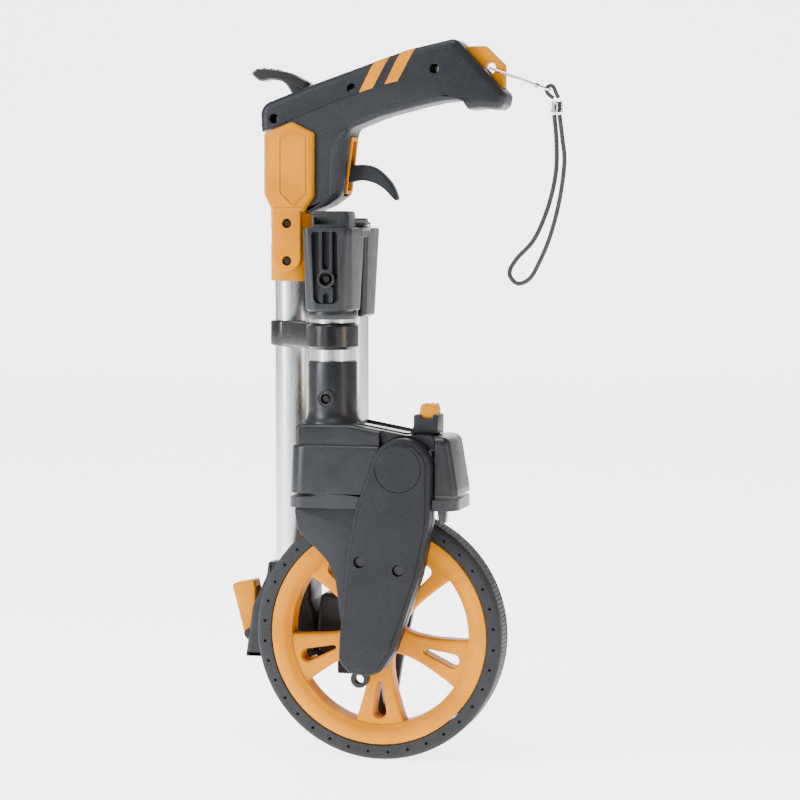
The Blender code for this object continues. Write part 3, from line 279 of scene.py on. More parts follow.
def rectangle(x0, x1, y0, y1, low_radius=0, high_radius=0, step=9.0):
    """Return a rectangle, with one radius for the corners at y0 and one for those at y1."""
    return rounded([(x0, y0, low_radius), (x1, y0, low_radius), (x1, y1, high_radius),
                    (x0, y1, high_radius)], step)


def smooth(points, pieces=4, closed=False):
    """Return points along a Catmull-Rom curve through the given ones."""
    path = [Vector(p) for p in points]
    if closed:
        path = [path[-1]] + path + path[:2]
    else:
        path = [2 * path[0] - path[1]] + path + [2 * path[-1] - path[-2]]
    result = []
    for p0, p1, p2, p3 in zip(path, path[1:], path[2:], path[3:]):
        for k in range(pieces):
            t = k / pieces
            curve = 2 * p1 + (p2 - p0) * t + (2 * p0 - 5 * p1 + 4 * p2 - p3) * t * t
            curve += (3 * p1 - p0 - 3 * p2 + p3) * t ** 3
            result.append(tuple(curve / 2))
    if not closed:
        result.append(tuple(path[-2]))
    return result


def grown(outline, by):
    """Return an outline that runs anticlockwise or clockwise, moved outwards by a distance."""
    area = sum(a[0] * b[1] - b[0] * a[1] for a, b in zip(outline, outline[1:] + outline[:1]))
    by = by if area > 0 else -by
    result = []
    count = len(outline)
    for k, here in enumerate(outline):
        along = Vector(outline[(k + 1) % count]) - Vector(outline[k - 1])
        along.normalize()
        result.append((here[0] + along.y * by, here[1] - along.x * by))
    return result


# -------------------- solids

PLANES = {
    "XZ": Matrix(((1, 0, 0), (0, 0, -1), (0, 1, 0))).to_4x4(),
    "YZ": Matrix(((0, 0, 1), (1, 0, 0), (0, 1, 0))).to_4x4(),
    "XY": Matrix.Identity(4),
}


def curve_to_mesh(curve, name, matrix):
    holder = bpy.data.objects.new(name, curve)
    holder.matrix_world = matrix
    bpy.context.scene.collection.objects.link(holder)
    bpy.context.view_layer.update()
    solid = bpy.data.meshes.new_from_object(holder.evaluated_get(bpy.context.evaluated_depsgraph_get()))
    bpy.data.objects.remove(holder, do_unlink=True)
    bm = bmesh.new()
    bm.from_mesh(solid)
    bmesh.ops.remove_doubles(bm, verts=bm.verts, dist=1e-6)
    bmesh.ops.recalc_face_normals(bm, faces=bm.faces)
    bm.to_mesh(solid)
    bm.free()
    return hold(name, solid, matrix)


def hold(name, mesh, matrix):
    mesh.transform(matrix)
    made = bpy.data.objects.new(name, mesh)
    bpy.context.scene.collection.objects.link(made)
    return made


def plate(name, outline, low, high, edge=0.0, steps=3, grow=0.0, plane="XZ"):
    """Extrude a flat outline across its plane, from low to high, with rounded rims."""
    curve = bpy.data.curves.new(name, "CURVE")
    curve.dimensions = "2D"
    curve.fill_mode = "BOTH"
    curve.extrude = (abs(high - low) / 2 - edge + grow) * MM
    curve.bevel_depth = edge * MM
    curve.bevel_resolution = steps
    curve.offset = (grow - edge) * MM
    spline = curve.splines.new("POLY")
    spline.points.add(len(outline) - 1)
    shift = {"XZ": (0, 0), "YZ": (-COVER_Y, 0), "XY": (0, -COVER_Y)}[plane]
    for dot, (a, b) in zip(spline.points, outline):
        dot.co = ((a + shift[0]) * MM, (b + shift[1]) * MM, 0, 1)
    spline.use_cyclic_u = True
    middle = (low + high) / 2
    centre = {"XZ": (0, (middle - COVER_Y) * MM, 0), "YZ": (middle * MM, 0, 0), "XY": (0, 0, middle * MM)}
    return curve_to_mesh(curve, name, Matrix.Translation(centre[plane]) @ PLANES[plane])


def box(name, low, high, edge=0.0, segments=3):
    """Make a box from its low and high corners, with rounded edges."""
    mesh = bpy.data.meshes.new(name)
    bm = bmesh.new()
    bmesh.ops.create_cube(bm, size=1.0)
    bmesh.ops.scale(bm, vec=at(*high) - at(*low), verts=bm.verts)
    if edge:
        bmesh.ops.bevel(bm, geom=bm.edges[:] + bm.verts[:], offset=edge * MM, segments=segments,
                        profile=0.5, affect="EDGES")
    bm.to_mesh(mesh)
    bm.free()
    return hold(name, mesh, Matrix.Translation((at(*low) + at(*high)) / 2))


def rod(name, start, end, radius, sides=48, tip=None):
    a, b = at(*start), at(*end)
    mesh = bpy.data.meshes.new(name)
    bm = bmesh.new()
    bmesh.ops.create_cone(bm, cap_ends=True, segments=sides, radius1=radius * MM,
                          radius2=(radius if tip is None else tip) * MM, depth=(b - a).length)
    bm.to_mesh(mesh)
    bm.free()
    turn = (b - a).to_track_quat("Z", "Y").to_matrix().to_4x4()
    return hold(name, mesh, Matrix.Translation((a + b) / 2) @ turn)


def across(name, place, low, high, radius, sides=48, tip=None):
    """Make a rod along Y, placed by its X and Z."""
    return rod(name, (place[0], low, place[1]), (place[0], high, place[1]), radius, sides, tip)


def sideways(name, place, low, high, radius, sides=48):
    """Make a rod along X, placed by its Y and Z."""
    return rod(name, (low, *place), (high, *place), radius, sides)


def upright(name, place, low, high, radius, sides=64):
    """Make a rod along Z, placed by its X and Y."""
    return rod(name, (*place, low), (*place, high), radius, sides)


def bore(name, place, low, high):
    """Make the cutter for a hole that holds a tube."""
    return upright(name, place, low, high, TUBE_R + GAP)


def turned(name, centre, axis, profile, steps=64):
    """Spin a profile of (radius, height) about an axis through the centre."""
    mesh = bpy.data.meshes.new(name)
    bm = bmesh.new()
    verts = [bm.verts.new((r * MM, 0, h * MM)) for r, h in profile]
    ends = verts[1:] + verts[:1] if profile[0][0] > 0 else verts[1:]
    edges = [bm.edges.new((a, b)) for a, b in zip(verts, ends)]
    bmesh.ops.spin(bm, geom=verts + edges, cent=(0, 0, 0), axis=(0, 0, 1), dvec=(0, 0, 0),
                   angle=2 * math.pi, steps=steps, use_merge=True)
    bmesh.ops.remove_doubles(bm, verts=bm.verts, dist=1e-6)
    bmesh.ops.recalc_face_normals(bm, faces=bm.faces)
    bm.to_mesh(mesh)
    bm.free()
    turn = {"Z": Matrix.Identity(4), "Y": Matrix.Rotation(-math.pi / 2, 4, "X"),
            "X": Matrix.Rotation(math.pi / 2, 4, "Y")}[axis]
    return hold(name, mesh, Matrix.Translation(at(*centre)) @ turn)


def ring(name, centre, axis, outer, inner, low, high, steps=64, edge=0.3):
    profile = [(outer - edge, high), (outer, high - edge), (outer, low + edge), (outer - edge, low),
               (inner, low), (inner, high)]
    return turned(name, centre, axis, profile, steps)


def wire(name, points, radius, closed=False, resolution=4):
    """Make a round wire along points."""
    curve = bpy.data.curves.new(name, "CURVE")
    curve.dimensions = "3D"
    curve.bevel_depth = radius * MM
    curve.bevel_resolution = resolution
    curve.use_fill_caps = not closed
    spline = curve.splines.new("POLY")
    spline.points.add(len(points) - 1)
    for dot, spot in zip(spline.points, points):
        dot.co = (*at(*spot), 1)
    spline.use_cyclic_u = closed
    return curve_to_mesh(curve, name, Matrix.Identity(4))


def combine(target, others, operation):
    """Cut, join or intersect a piece with helper solids, and apply it."""
    for other in others:
        step = target.modifiers.new(other.name, "BOOLEAN")
        step.operation = operation
        step.solver = "MANIFOLD"
        step.object = other
    bpy.context.view_layer.update()
    evaluated = target.evaluated_get(bpy.context.evaluated_depsgraph_get())
    result = bpy.data.meshes.new_from_object(evaluated)
    if not result.polygons:
        raise RuntimeError(f"{target.name}: nothing left after {[o.name for o in others]}")
    target.modifiers.clear()
    target.data = result
    for other in others:
        bpy.data.objects.remove(other, do_unlink=True)
    return target


def cut(target, *others):
    return combine(target, others, "DIFFERENCE")


def join(target, *others):
    return combine(target, others, "UNION")


def keep(target, *others):
    return combine(target, others, "INTERSECT")


def finish(obj, material, body, *nodes, angle=34.0):
    """Give a piece its finish, hang it on its body and let it stand for its CAD nodes."""
    obj.data.materials.clear()
    obj.data.materials.append(material)
    for face in obj.data.polygons:
        face.material_index = 0
    obj.data.shade_smooth()
    obj.data.set_sharp_from_angle(angle=math.radians(angle))
    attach(obj, body)
    if nodes:
        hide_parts(*nodes)
    return obj


# -------------------- wrist cord

STRAP = [(101.9, 40, 326.8), (103.4, 40, 309), (102.9, 40.4, 290), (98.0, 41, 269), (89.0, 41.6, 248.5),
         (77.5, 41.6, 235.8), (73.2, 41, 226.8), (78.6, 40, 220.4), (86.6, 39.2, 223.6), (92.6, 38.8, 233.5),
         (99.6, 38.8, 250), (105.6, 39, 273), (108.6, 39.4, 297), (107.1, 40, 312), (105.2, 40, 326.8)]
TOP_LOOP = [(101.4, 40, 337.3), (99.0, 40, 338.9), (97.0, 40, 341.2), (97.3, 40, 343.9), (99.3, 40, 345.2),
            (101.4, 40, 344.0), (102.7, 40, 341.0), (103.7, 40, 338.9), (104.6, 40, 337.3)]
HOOK_START, HOOK_END = Vector((EYELET[0], 40, EYELET[1])), Vector((99.0, 40, 342.4))


def make_strap():
    route = smooth(STRAP, 6)
    loop = smooth(TOP_LOOP, 5)
    cord = finish(wire("wrist_cord", route, 1.45, resolution=5), cord_braid, "handle", "strap_cord")
    knot = finish(wire("wrist_cord_eye", loop, 1.3, resolution=5), cord_braid, "handle", "strap_top_loop")
    ferrule = box("crimped_ferrule", (99.6, 37.8, 327.2), (107.2, 42.2, 335.6), 1.0)
    dent = box("ferrule_dent", (102.4, 37.0, 328.8), (104.4, 38.2, 334.0), 0.3)
    finish(cut(ferrule, dent), chrome, "handle", "strap_ferrule")
    along = (HOOK_END - HOOK_START).normalized()
    length = (HOOK_END - HOOK_START).length
    side = rounded([(0, -5.8, 1.5), (length, -3.2, 3.1), (length, 3.2, 3.1), (0, 5.8, 1.5)], 10)
    hook_loop = [tuple(HOOK_START + along * s + Vector((0, w, 0))) for s, w in side]
    hook = finish(wire("snap_hook_wire", hook_loop, 0.9, closed=True), chrome, "handle", "snap_hook")
    spot = HOOK_START + along * length * 0.80
    collar = finish(across("snap_hook_collar", (spot.x, spot.z), spot.y - 4.4, spot.y - 2.0, 1.5, 20), chrome,
                    "handle")


make_strap()


# -------------------- wheel

TREAD_TEETH = 180
DIMPLES = 36


def make_tyre():
    """Build the tyre as a ring whose tread is cut by fine cross grooves, with dimpled walls."""
    half = 11.0
    profile = [(TYRE_R - 0.15, 8.6), (TYRE_R - 0.7, 9.9), (TYRE_R - 1.9, 10.7), (TYRE_R - 3.2, half),
               (RIM_R + 0.8, half), (RIM_R + GAP, half - 0.5)]
    tread = [(TYRE_R, y) for y in (7.8, 6.6, 4.4, 2.2, 0.0, -2.2, -4.4, -6.6, -7.8)]
    loop = list(reversed(profile)) + tread + [(r, -y) for r, y in profile]
    count = TREAD_TEETH * 4
    first_tread, last_tread = len(profile) + 1, len(profile) + len(tread) - 1
    mesh = bpy.data.meshes.new("tyre_fine")
    bm = bmesh.new()
    rows = []
    for k in range(count):
        angle = 2 * math.pi * k / count
        depth = 0.42 if k % 4 == 0 else 0.0
        row = []
        for j, (r, y) in enumerate(loop):
            radius = r - depth if first_tread <= j < last_tread and j % 4 != 2 else r
            row.append(bm.verts.new(at(radius * math.cos(angle), y, radius * math.sin(angle))))
        rows.append(row)
    size = len(loop)
    for k in range(count):
        here, there = rows[k], rows[(k + 1) % count]
        for j in range(size):
            bm.faces.new((here[j], here[(j + 1) % size], there[(j + 1) % size], there[j]))
    bmesh.ops.recalc_face_normals(bm, faces=bm.faces)
    bm.to_mesh(mesh)
    bm.free()
    tyre = hold("tyre_fine", mesh, Matrix.Identity(4))
    dimples = []
    for k in range(DIMPLES):
        angle = 2 * math.pi * (k + 0.5) / DIMPLES
        x, z = 74.4 * math.cos(angle), 74.4 * math.sin(angle)
        for side in (-1, 1):
            dimples.append(across(f"dimple_{k}_{side}", (x, z), side * 9.0, side * 12.0, 0.85, 14, 1.0))
    finish(cut(tyre, *dimples), rubber, "wheel", "tyre", angle=28)


def spoke_outline(angle):
    side = [(9.5, 6.0), (8.0, 16.0), (8.0, 24.0), (9.6, 34.0), (12.6, 45.0), (14.6, 51.5), (16.4, 55.5),
            (20.5, 60.5)]
    edge = smooth(side, 5)
    half = edge + [(-a, r) for a, r in reversed(edge)]
    turn = Matrix.Rotation(math.radians(angle) - math.pi / 2, 2)
    return [tuple(turn @ Vector(p)) for p in half]


def slot_outline(angle, grow=0.0):
    drop = rounded([(-1.2 - grow, 30.5 - grow, 1.1 + grow), (1.2 + grow, 30.5 - grow, 1.1 + grow),
                    (4.7 + grow, 53.6 + grow, 4.4 + grow), (-4.7 - grow, 53.6 + grow, 4.4 + grow)], 12)
    turn = Matrix.Rotation(math.radians(angle) - math.pi / 2, 2)
    return [tuple(turn @ Vector(p)) for p in drop]


def make_rim():
    crown = [(69.7, 10.2), (69.3, 10.7), (67.6, 11.15), (65.4, 11.2), (63.2, 10.8), (61.4, 10.0), (60.2, 8.9),
             (59.0, 7.8), (57.9, 7.2), (57.5, 6.6)]
    rim = turned("wheel_rim_fine", (0, 0, 0), "Y", crown + [(r, -h) for r, h in reversed(crown)], 144)
    angles = [-90 + 360 / SPOKES * k for k in range(SPOKES)]
    join(rim, across("hub_boss", (0, 0), -10.5, 10.5, 13.0, 64))
    for k, angle in enumerate(angles):
        join(rim, plate(f"spoke_{k}", spoke_outline(angle), -6.3, 6.3, 2.4, 4))
    for k, angle in enumerate(angles):
        for side in (-1, 1):
            low, high = sorted((side * 5.1, side * 7.0))
            cut(rim, plate(f"slot_dish_{k}_{side}", slot_outline(angle, 0.7), low, high))
        cut(rim, plate(f"slot_{k}", slot_outline(angle), -14, 14))
    cut(rim, across("hub_bore", (0, 0), -14, 14, 4.0, 40))
    finish(rim, orange, "wheel", "wheel_rim", angle=30)


# -------------------- gear cover and fork

COVER_TOP = (19.0, 107.0)
COVER_TOP_R = 18.8
COVER_SIDES = [
    (37.2, 72.0, 40.0), (30.7, 40.0, 60.0), (13.8, -9.0, 8.0), (6.0, -20.5, 10.0), (-2.0, -23.5, 10.0),
    (-14.0, -22.3, 8.0), (-21.0, -15.0, 8.0), (-20.5, 0.0, 40.0), (-15.5, 52.0, 80.0), (-11.0, 79.0, 30.0)]
COVER_SCREWS = ((-7.2, 48.4), (17.5, 43.8))
LUG = (-10.2, -27.2)


def cover_outline(grow=0.0):
    """Return the gear cover's outline, an arc on top and tapering sides, grown outwards if wanted."""
    turn, pieces = math.radians(160), 36
    x, z = COVER_TOP
    corners = []
    for k in range(pieces + 1):
        angle = turn * (1 - k / pieces)
        corners.append((x + COVER_TOP_R * math.cos(angle), z + COVER_TOP_R * math.sin(angle), 0))
    return grown(rounded(corners + COVER_SIDES, 4), grow)


def make_cover():
    cover = plate("gear_cover_fine", cover_outline(), COVER_Y + 1.0, -19.3, 2.2, 4)
    join(cover, plate("cover_face", cover_outline(-3.0), COVER_Y, COVER_Y + 3, 0.45, 2))
    cut(cover, ring("disc_groove", (17.6, 0, 107.2), "Y", 15.0, 14.3, COVER_Y - 0.5, COVER_Y + 0.4, 96, 0.05))
    for k, (x, z) in enumerate(COVER_SCREWS):
        cut(cover, across(f"cover_well_{k}", (x, z), COVER_Y - 2, -24.8, 3.6, 40))
        cut(cover, across(f"cover_way_{k}", (x, z), -25.5, -17, 1.8, 20))
    finish(cover, grained, "lower", "gear_cover")


def make_fork():
    arm = plate("fork_arm_fine", cover_outline(), -19.0, -12.3, 0.5, 1)
    web = rounded([(-52.5, 80.6, 2), (-50.5, 66, 14), (-31, 47.5, 16), (-25.5, 34, 20), (-22, 5, 10),
                   (-8, 5, 0), (6, 60, 0), (6, 80.6, 0)], 6)
    x, z = LUG
    lug = across("arm_lug", (x, z), -18.5, -12.8, 5.6, 40)
    join(arm, plate("arm_web", web, -18.6, -12.35, 0.8, 2), lug,
         box("lug_neck", (x - 3.6, -18.4, z), (x + 3.6, -12.9, z + 9)))
    cut(arm, across("arm_hub_hole", (0, 0), -24, -9, 8.3, 40),
        across("arm_lug_hole", (x, z), -24, -9, 2.9, 28),
        across("arm_shaft_hole", (COUNTER_X, COUNTER_Z), -24, -9, 3.2, 24))
    for k, (x, z) in enumerate(COVER_SCREWS):
        cut(arm, across(f"arm_screw_hole_{k}", (x, z), -24, -9, 1.75, 16))
    finish(arm, charcoal, "lower", "fork_arm")
    tail = rounded([(-40, 80.6, 2), (-17, 20, 20), (-15.5, -12, 20), (-9, -45, 12), (-3.5, -60, 3),
                    (1, -58, 3), (7, -38, 8), (9.5, -22, 14), (17, 12, 20), (31, 80.6, 2)], 8)
    rear = plate("rear_arm_fine", tail, 12.5, 18.5, 0.9, 2)
    window = rounded([(-5.5, -28, 2), (3.5, -28, 2), (-1.5, -53, 1)], 12)
    cut(rear, across("rear_hub_hole", (0, 0), 8, 24, 8.3, 40), plate("tail_window", window, 8, 24))
    finish(rear, charcoal, "lower", "rear_arm")


# -------------------- counter housing

def cover_pocket(name):
    return plate(name, cover_outline(0.5), COVER_Y - 4, -12.0)


def tapered(obj, low, high, amount):
    """Narrow a piece evenly towards its top."""
    middle = sum((v.co for v in obj.data.vertices), Vector()) / len(obj.data.vertices)
    for vertex in obj.data.vertices:
        part = min(1.0, max(0.0, (vertex.co.z / MM - low) / (high - low)))
        vertex.co.x = middle.x + (vertex.co.x - middle.x) * (1 - amount * part)
        vertex.co.y = middle.y + (vertex.co.y - middle.y) * (1 - amount * part)
    return obj


def make_housing():
    plan = rectangle(-55.6, 41, -24.3, 24.3, 11, 11, 8)
    housing = tapered(plate("counter_housing_fine", plan, 86, 120.5, 2.6, 4, plane="XY"), 90, 120, 0.03)
    keep(housing, box("housing_span", (-70, -40, 90), (37.9, 40, 125)))
    neck_side = rounded([(-51.5, 112, 0), (-51.5, 133, 3), (-16, 133.5, 12), (20, 127, 6), (37.6, 127, 3),
                         (37.6, 112, 0)], 8)
    neck = plate("housing_neck", neck_side, -20.7, 20.7, 3.4, 4)
    socket = turned("housing_socket", (*LOWER, 0), "Z", [
        (0, 172), (14.6, 172), (15.2, 171.6), (15.5, 170.8), (15.5, 141), (15.9, 138.2), (16.9, 135.8),
        (18.4, 134), (19.4, 131), (19.4, 126), (0, 126)], 72)
    boss = across("socket_boss", (LOWER[0], SOCKET_SCREW_Z), -17.0, -10, 5.3, 48, 5.3)
    join(housing, neck, socket, boss)
    lip = ring("boss_lip", (LOWER[0], 0, SOCKET_SCREW_Z), "Y", 5.0, 4.3, -18, -16.6, 48, 0.05)
    cut(housing, lip, cover_pocket("housing_cover_pocket"),
        box("neck_step", (3.5, -35, 118), (45, -16.8, 140), 1.0),
        box("housing_hollow", (-10.5, -9.8, 84), (24.4, 18.0, 124.6)),
        box("housing_gear_room", (-9.5, -9.4, 83), (34, 17.2, 116.4)),
        across("housing_shaft_way", (COUNTER_X, COUNTER_Z), -16, -8, 3.2, 24),
        box("housing_window", (-13.5, -8, 120), (17.5, 17, 140)),
        bore("socket_bore", LOWER, 140.7, 180),
        across("socket_screw_way", (LOWER[0], SOCKET_SCREW_Z), -20, -5, 3.3, 32),
        sideways("socket_side_hole", (LOWER[1], 160), -50, -40, 2.6, 28),
        box("housing_button_way", (25.6, -7.3, 118), (36.9, 7.3, 130)))
    finish(housing, satin_charcoal, "lower", "counter_housing")
    gasket_route = rectangle(-14.6, 18.8, -9.2, 18.2, 2, 2, 12)
    gasket_line = [(x, y, platform_height(x) + 0.25) for x, y in spaced(gasket_route, 2.5)]
    window = plate("counter_window_fine", [(-13.1, 130.4), (17.1, 125.3), (17.1, 127.2), (-13.1, 132.6)],
                   -7.7, 16.7, 0.4, 2)
    finish(window, lens, "lower", "counter_window")
    gasket = finish(wire("window_gasket", gasket_line, 0.55, closed=True), glossy_black, "lower")
    make_base()
    make_front_cover()
    make_reset()


def spaced(outline, step):
    """Return a closed outline with points no further apart than the step."""
    result = []
    for a, b in zip(outline, outline[1:] + outline[:1]):
        a, b = Vector(a), Vector(b)
        count = max(1, math.ceil((b - a).length / step))
        result += [tuple(a.lerp(b, k / count)) for k in range(count)]
    return result


def platform_height(x):
    """Return the height of the housing's sloping top."""
    if x < -16:
        return 133.2
    if x > 20:
        return 127.0
    return 133.5 + (127.0 - 133.5) * (x + 16) / 36


def make_base():
    """The fork's skirt under the housing, whose front lip rises in a soft wave."""
    base = plate("housing_base_fine", rectangle(-56, 53.5, -24.5, 24.5, 11, 11, 8), 78.0, 93.5, 1.6, 3,
                 plane="XY")
    lip = [(-60, 80.9), (60, 80.9), (60, 89.6)]
    count = 40
    for k in range(count + 1):
        x = 60 - 120 * k / count
        lift = 1.9 * math.exp(-((x + 22) / 12) ** 2) - 1.2 * math.exp(-((x + 55) / 6) ** 2)
        lip.append((x, 88.0 + lift))
    keep(base, plate("lip_shape", lip, -30, 30))
    cut(base, cover_pocket("base_cover_pocket"), across("wheel_arch", (0, 0), -12.5, 12.5, TYRE_R + 2.2, 96),
        box("base_hollow", (-8, -8, 70), (33, 20, 95)))
    finish(base, satin_charcoal, "lower", "housing_base")


def make_front_cover():
    side = rounded([(34, 84, 0), (34, 127.4, 3), (47.4, 126.4, 6), (52.9, 94, 8), (53.2, 84, 1)], 6)
    front = plate("front_cover_fine", side, -21, 21, 5.0, 5)
    keep(front, box("front_span", (38.7, -30, 90.1), (60, 30, 130)))
    finish(front, satin_charcoal, "lower", "front_cover")
    hook = rounded([(40.5, 81.6, 1), (46.5, 81.6, 1), (45.8, 73.0, 1.5), (41.2, 73.0, 1.5)])
    clip = plate("front_cover_clip", hook, -20.5, -13.5, 0.7, 2)
    finish(clip, glossy_black, "lower")


def make_reset():
    collar = box("reset_collar_fine", (22.4, -9, 127.3), (38.1, 9, 139.5), 1.2)
    cut(collar, box("collar_hole", (25.6, -7.3, 120), (36.9, 7.3, 145)),
        box("collar_notch", (27.5, -10, 137.4), (35.0, -6, 141), 0.4))
    join(collar, plate("collar_flare", [(23.2, 134), (23.2, 127.4), (20.2, 127.4)], -8.2, 8.2, 0.3, 2))
    finish(collar, charcoal, "lower", "reset_collar")
    side = rounded([(26.0, 128, 0), (26.0, 144.9, 2.2), (36.5, 144.9, 2.2), (36.5, 128, 0)])
    button = plate("reset_button_fine", side, -6.9, 6.9, 0.9, 3)
    bumps = [across(f"button_bump_{k}", (x, 144.6), -6.2, 6.2, 1.5, 24)
             for k, x in enumerate((28.2, 31.25, 34.3))]
    join(button, *bumps)
    finish(button, orange, "reset_button", "reset_button")


# -------------------- tubes, hinges, clip

def make_tubes():
    for node, body, x, y, low, high in (("lower_tube", "lower", *LOWER, 141, 238),
                                        ("middle_tube", "middle", *MIDDLE, 1, 236),
                                        ("upper_tube", "handle", *UPPER, 6, 300)):
        finish(ring(f"{node}_fine", (x, y, 0), "Z", TUBE_R, TUBE_BORE_R, low, high, 96, 0.2), aluminium,
               body, node)


def loft(name, sections):
    """Skin a stack of level outlines, given as (height, outline), that have equally many points."""
    mesh = bpy.data.meshes.new(name)
    bm = bmesh.new()
    rows = [[bm.verts.new(at(x, y, height)) for x, y in outline] for height, outline in sections]
    for under, over in zip(rows, rows[1:]):
        for k in range(len(under)):
            bm.faces.new((under[k - 1], under[k], over[k], over[k - 1]))
    bm.faces.new(rows[0])
    bm.faces.new(rows[-1])
    bmesh.ops.recalc_face_normals(bm, faces=bm.faces)
    bmesh.ops.triangulate(bm, faces=bm.faces)
    bm.to_mesh(mesh)
    bm.free()
    return hold(name, mesh, Matrix.Identity(4))


def shrunk(low, high, part, inset):
    """Return the corners between two rectangles at a part of the way up, moved inwards by an inset."""
    x0, x1, y0, y1, front, rear = [a + (b - a) * part for a, b in zip(low, high)]
    return rectangle(x0 + inset, x1 - inset, y0 + inset, y1 - inset, max(0.6, front - inset),
                     max(0.6, rear - inset), 7)


def soft_block(name, low, foot, high, head):
    """Make a tapering block with softly rounded rims at its foot and head."""
    sections = [(foot, shrunk(low, high, 0, 1.6)), (foot + 0.5, shrunk(low, high, 0, 0.7)),
                (foot + 1.4, shrunk(low, high, 0.02, 0.0))]
    for part in (0.3, 0.6, 0.9):
        sections.append((foot + (head - foot) * part, shrunk(low, high, part, 0.0)))
    sections += [(head - 1.0, shrunk(low, high, 0.98, 0.0)), (head - 0.3, shrunk(low, high, 1, 0.35)),
                 (head, shrunk(low, high, 1, 1.1))]
    return loft(name, sections)


def make_lower_hinge():
    y, z = TOP_AXIS_Y, TOP_AXIS_Z
    block = soft_block("lower_hinge_block_fine", (-47, -16.6, -17, 16, 9, 9), 203.4,
                       (-46.6, -15.2, -20, 17.6, 4, 4), z - 0.2)
    collar = turned("lower_block_collar", (*LOWER, 0), "Z", [
        (0, 208), (14.8, 208), (14.8, 204.6), (15.6, 203.6), (15.8, 202.5), (15.8, 199.5), (15.2, 198.5),
        (0, 198.5)], 72)
    tongue = box("lower_block_tongue", (-41.2, -17.5, 250), (-17.8, 3, 266.3), 1.2)
    step = box("tongue_step", (-22.2, -16.2, 250), (-17.2, 1.5, 264.4), 0.8)
    join(block, collar, tongue, step)
    for k, (low, high) in enumerate(((-46.6, -38.3), (-23.7, -15.2))):
        join(block, sideways(f"lower_knuckle_{k}", (y, z), low, high, KNUCKLE_R, 40),
             box(f"lower_knuckle_web_{k}", (low, 8, z - KNUCKLE_R), (high, y, z - 0.2)))
    recess = rounded([(-39.6, 208.4, 4), (-23.7, 208.4, 4), (-23.7, 253.6, 2), (-40.6, 253.6, 2)])
    cut(block, bore("lower_block_bore", LOWER, 190, 238.4),
        plate("lower_block_recess", recess, -26, -13.8),
        box("tongue_slot", (-39.0, -22, 257.8), (-24.0, -12, 262.4), 0.4),
        box("tongue_line", (-40.4, -18.6, 264.0), (-19.2, -17.2, 264.6)),
        sideways("knuckle_room_middle", (y, z), -38.6, -23.4, KNUCKLE_R + 0.7, 40),
        sideways("lower_block_pin_way", (y, z), -55, -5, HINGE_PIN_R + GAP, 32))
    ribs = plate("recess_ribs", rectangle(-35.8, -27.2, 226, 254.4), -18.6, -12.4)
    cut(ribs, plate("ribs_slot", rectangle(-33.9, -29.1, 229.6, 257, 2.3, 0), -22, -10))
    boss = ring("recess_boss", (BLOCK_BOSS[0], 0, BLOCK_BOSS[1]), "Y", 5.6, 4.2, -18.8, -12.4, 48, 0.35)
    arch = plate("recess_arch", rectangle(-36.0, -27.0, 209.2, 219, 1.6, 0), -18.0, -12.4)
    cut(arch, plate("arch_way", rectangle(-33.4, -29.6, 205, 215.4, 0, 1.9), -22, -10))
    cut(ribs, across("ribs_boss_room", BLOCK_BOSS, -25, -5, 4.2, 48))
    cut(arch, across("arch_boss_room", BLOCK_BOSS, -25, -5, 4.2, 48))
    floor = box("recess_floor", (-41.0, -14.0, 207), (-23.0, -13.0, 254.4))
    join(block, floor, ribs, boss, arch)
    finish(block, satin_charcoal, "lower", "lower_hinge_block")


def make_middle_hinge():
    y, z = TOP_AXIS_Y, TOP_AXIS_Z
    block = soft_block("middle_hinge_block_fine", (-47.5, -17, 24, 54.8, 4, 9), 199,
                       (-49.5, -15.3, 22.4, 58, 3, 6), z - 0.2)
    join(block, sideways("middle_knuckle", (y, z), -38.0, -24.0, KNUCKLE_R, 40),
         box("middle_knuckle_web", (-38.0, y, z - KNUCKLE_R), (-24.0, 32, z - 0.2)))
    cut(block, bore("middle_block_bore", MIDDLE, 190, 236.4),
        box("tongue_pocket", (-41.9, 36.2, 245.2), (-17.1, 62, 262), 0.4),
        sideways("knuckle_room_0", (y, z), -52, -38.2, KNUCKLE_R + 0.7, 40),
        sideways("knuckle_room_1", (y, z), -23.8, -12, KNUCKLE_R + 0.7, 40),
        sideways("middle_block_pin_way", (y, z), -55, -5, HINGE_PIN_R + GAP, 32))
    py, pz = TOP_LATCH_PIVOT
    for k, (low, high) in enumerate(((-43.5, -39.8), (-24.2, -20.5))):
        join(block, box(f"top_latch_ear_{k}", (low, 54, pz - 4), (high, py + 3.2, pz + 4), 1.0))
    join(block, sideways("top_latch_pin", TOP_LATCH_PIVOT, -42, -22, 1.5, 24))
    finish(block, satin_charcoal, "middle", "middle_hinge_block")
    lever = rounded([(59.8, 214, 1.5), (59.8, 250.0, 0.5), (59.4, 254, 0.5), (61.4, 259.5, 1.5),
                     (66.8, 259.5, 1.5), (65.8, 240, 6), (67.4, 232, 6), (65, 214, 1.5)])
    latch = plate("top_latch_fine", lever, -39.5, -24.5, 1.0, 3, plane="YZ")
    grips = [sideways(f"latch_groove_{k}", (66.6, 217.5 + 3.2 * k), -42, -22, 0.9, 20) for k in range(3)]
    cut(latch, sideways("top_latch_bore", TOP_LATCH_PIVOT, -45, -20, 1.8, 24), *grips)
    finish(latch, charcoal, "top_latch", "top_latch")


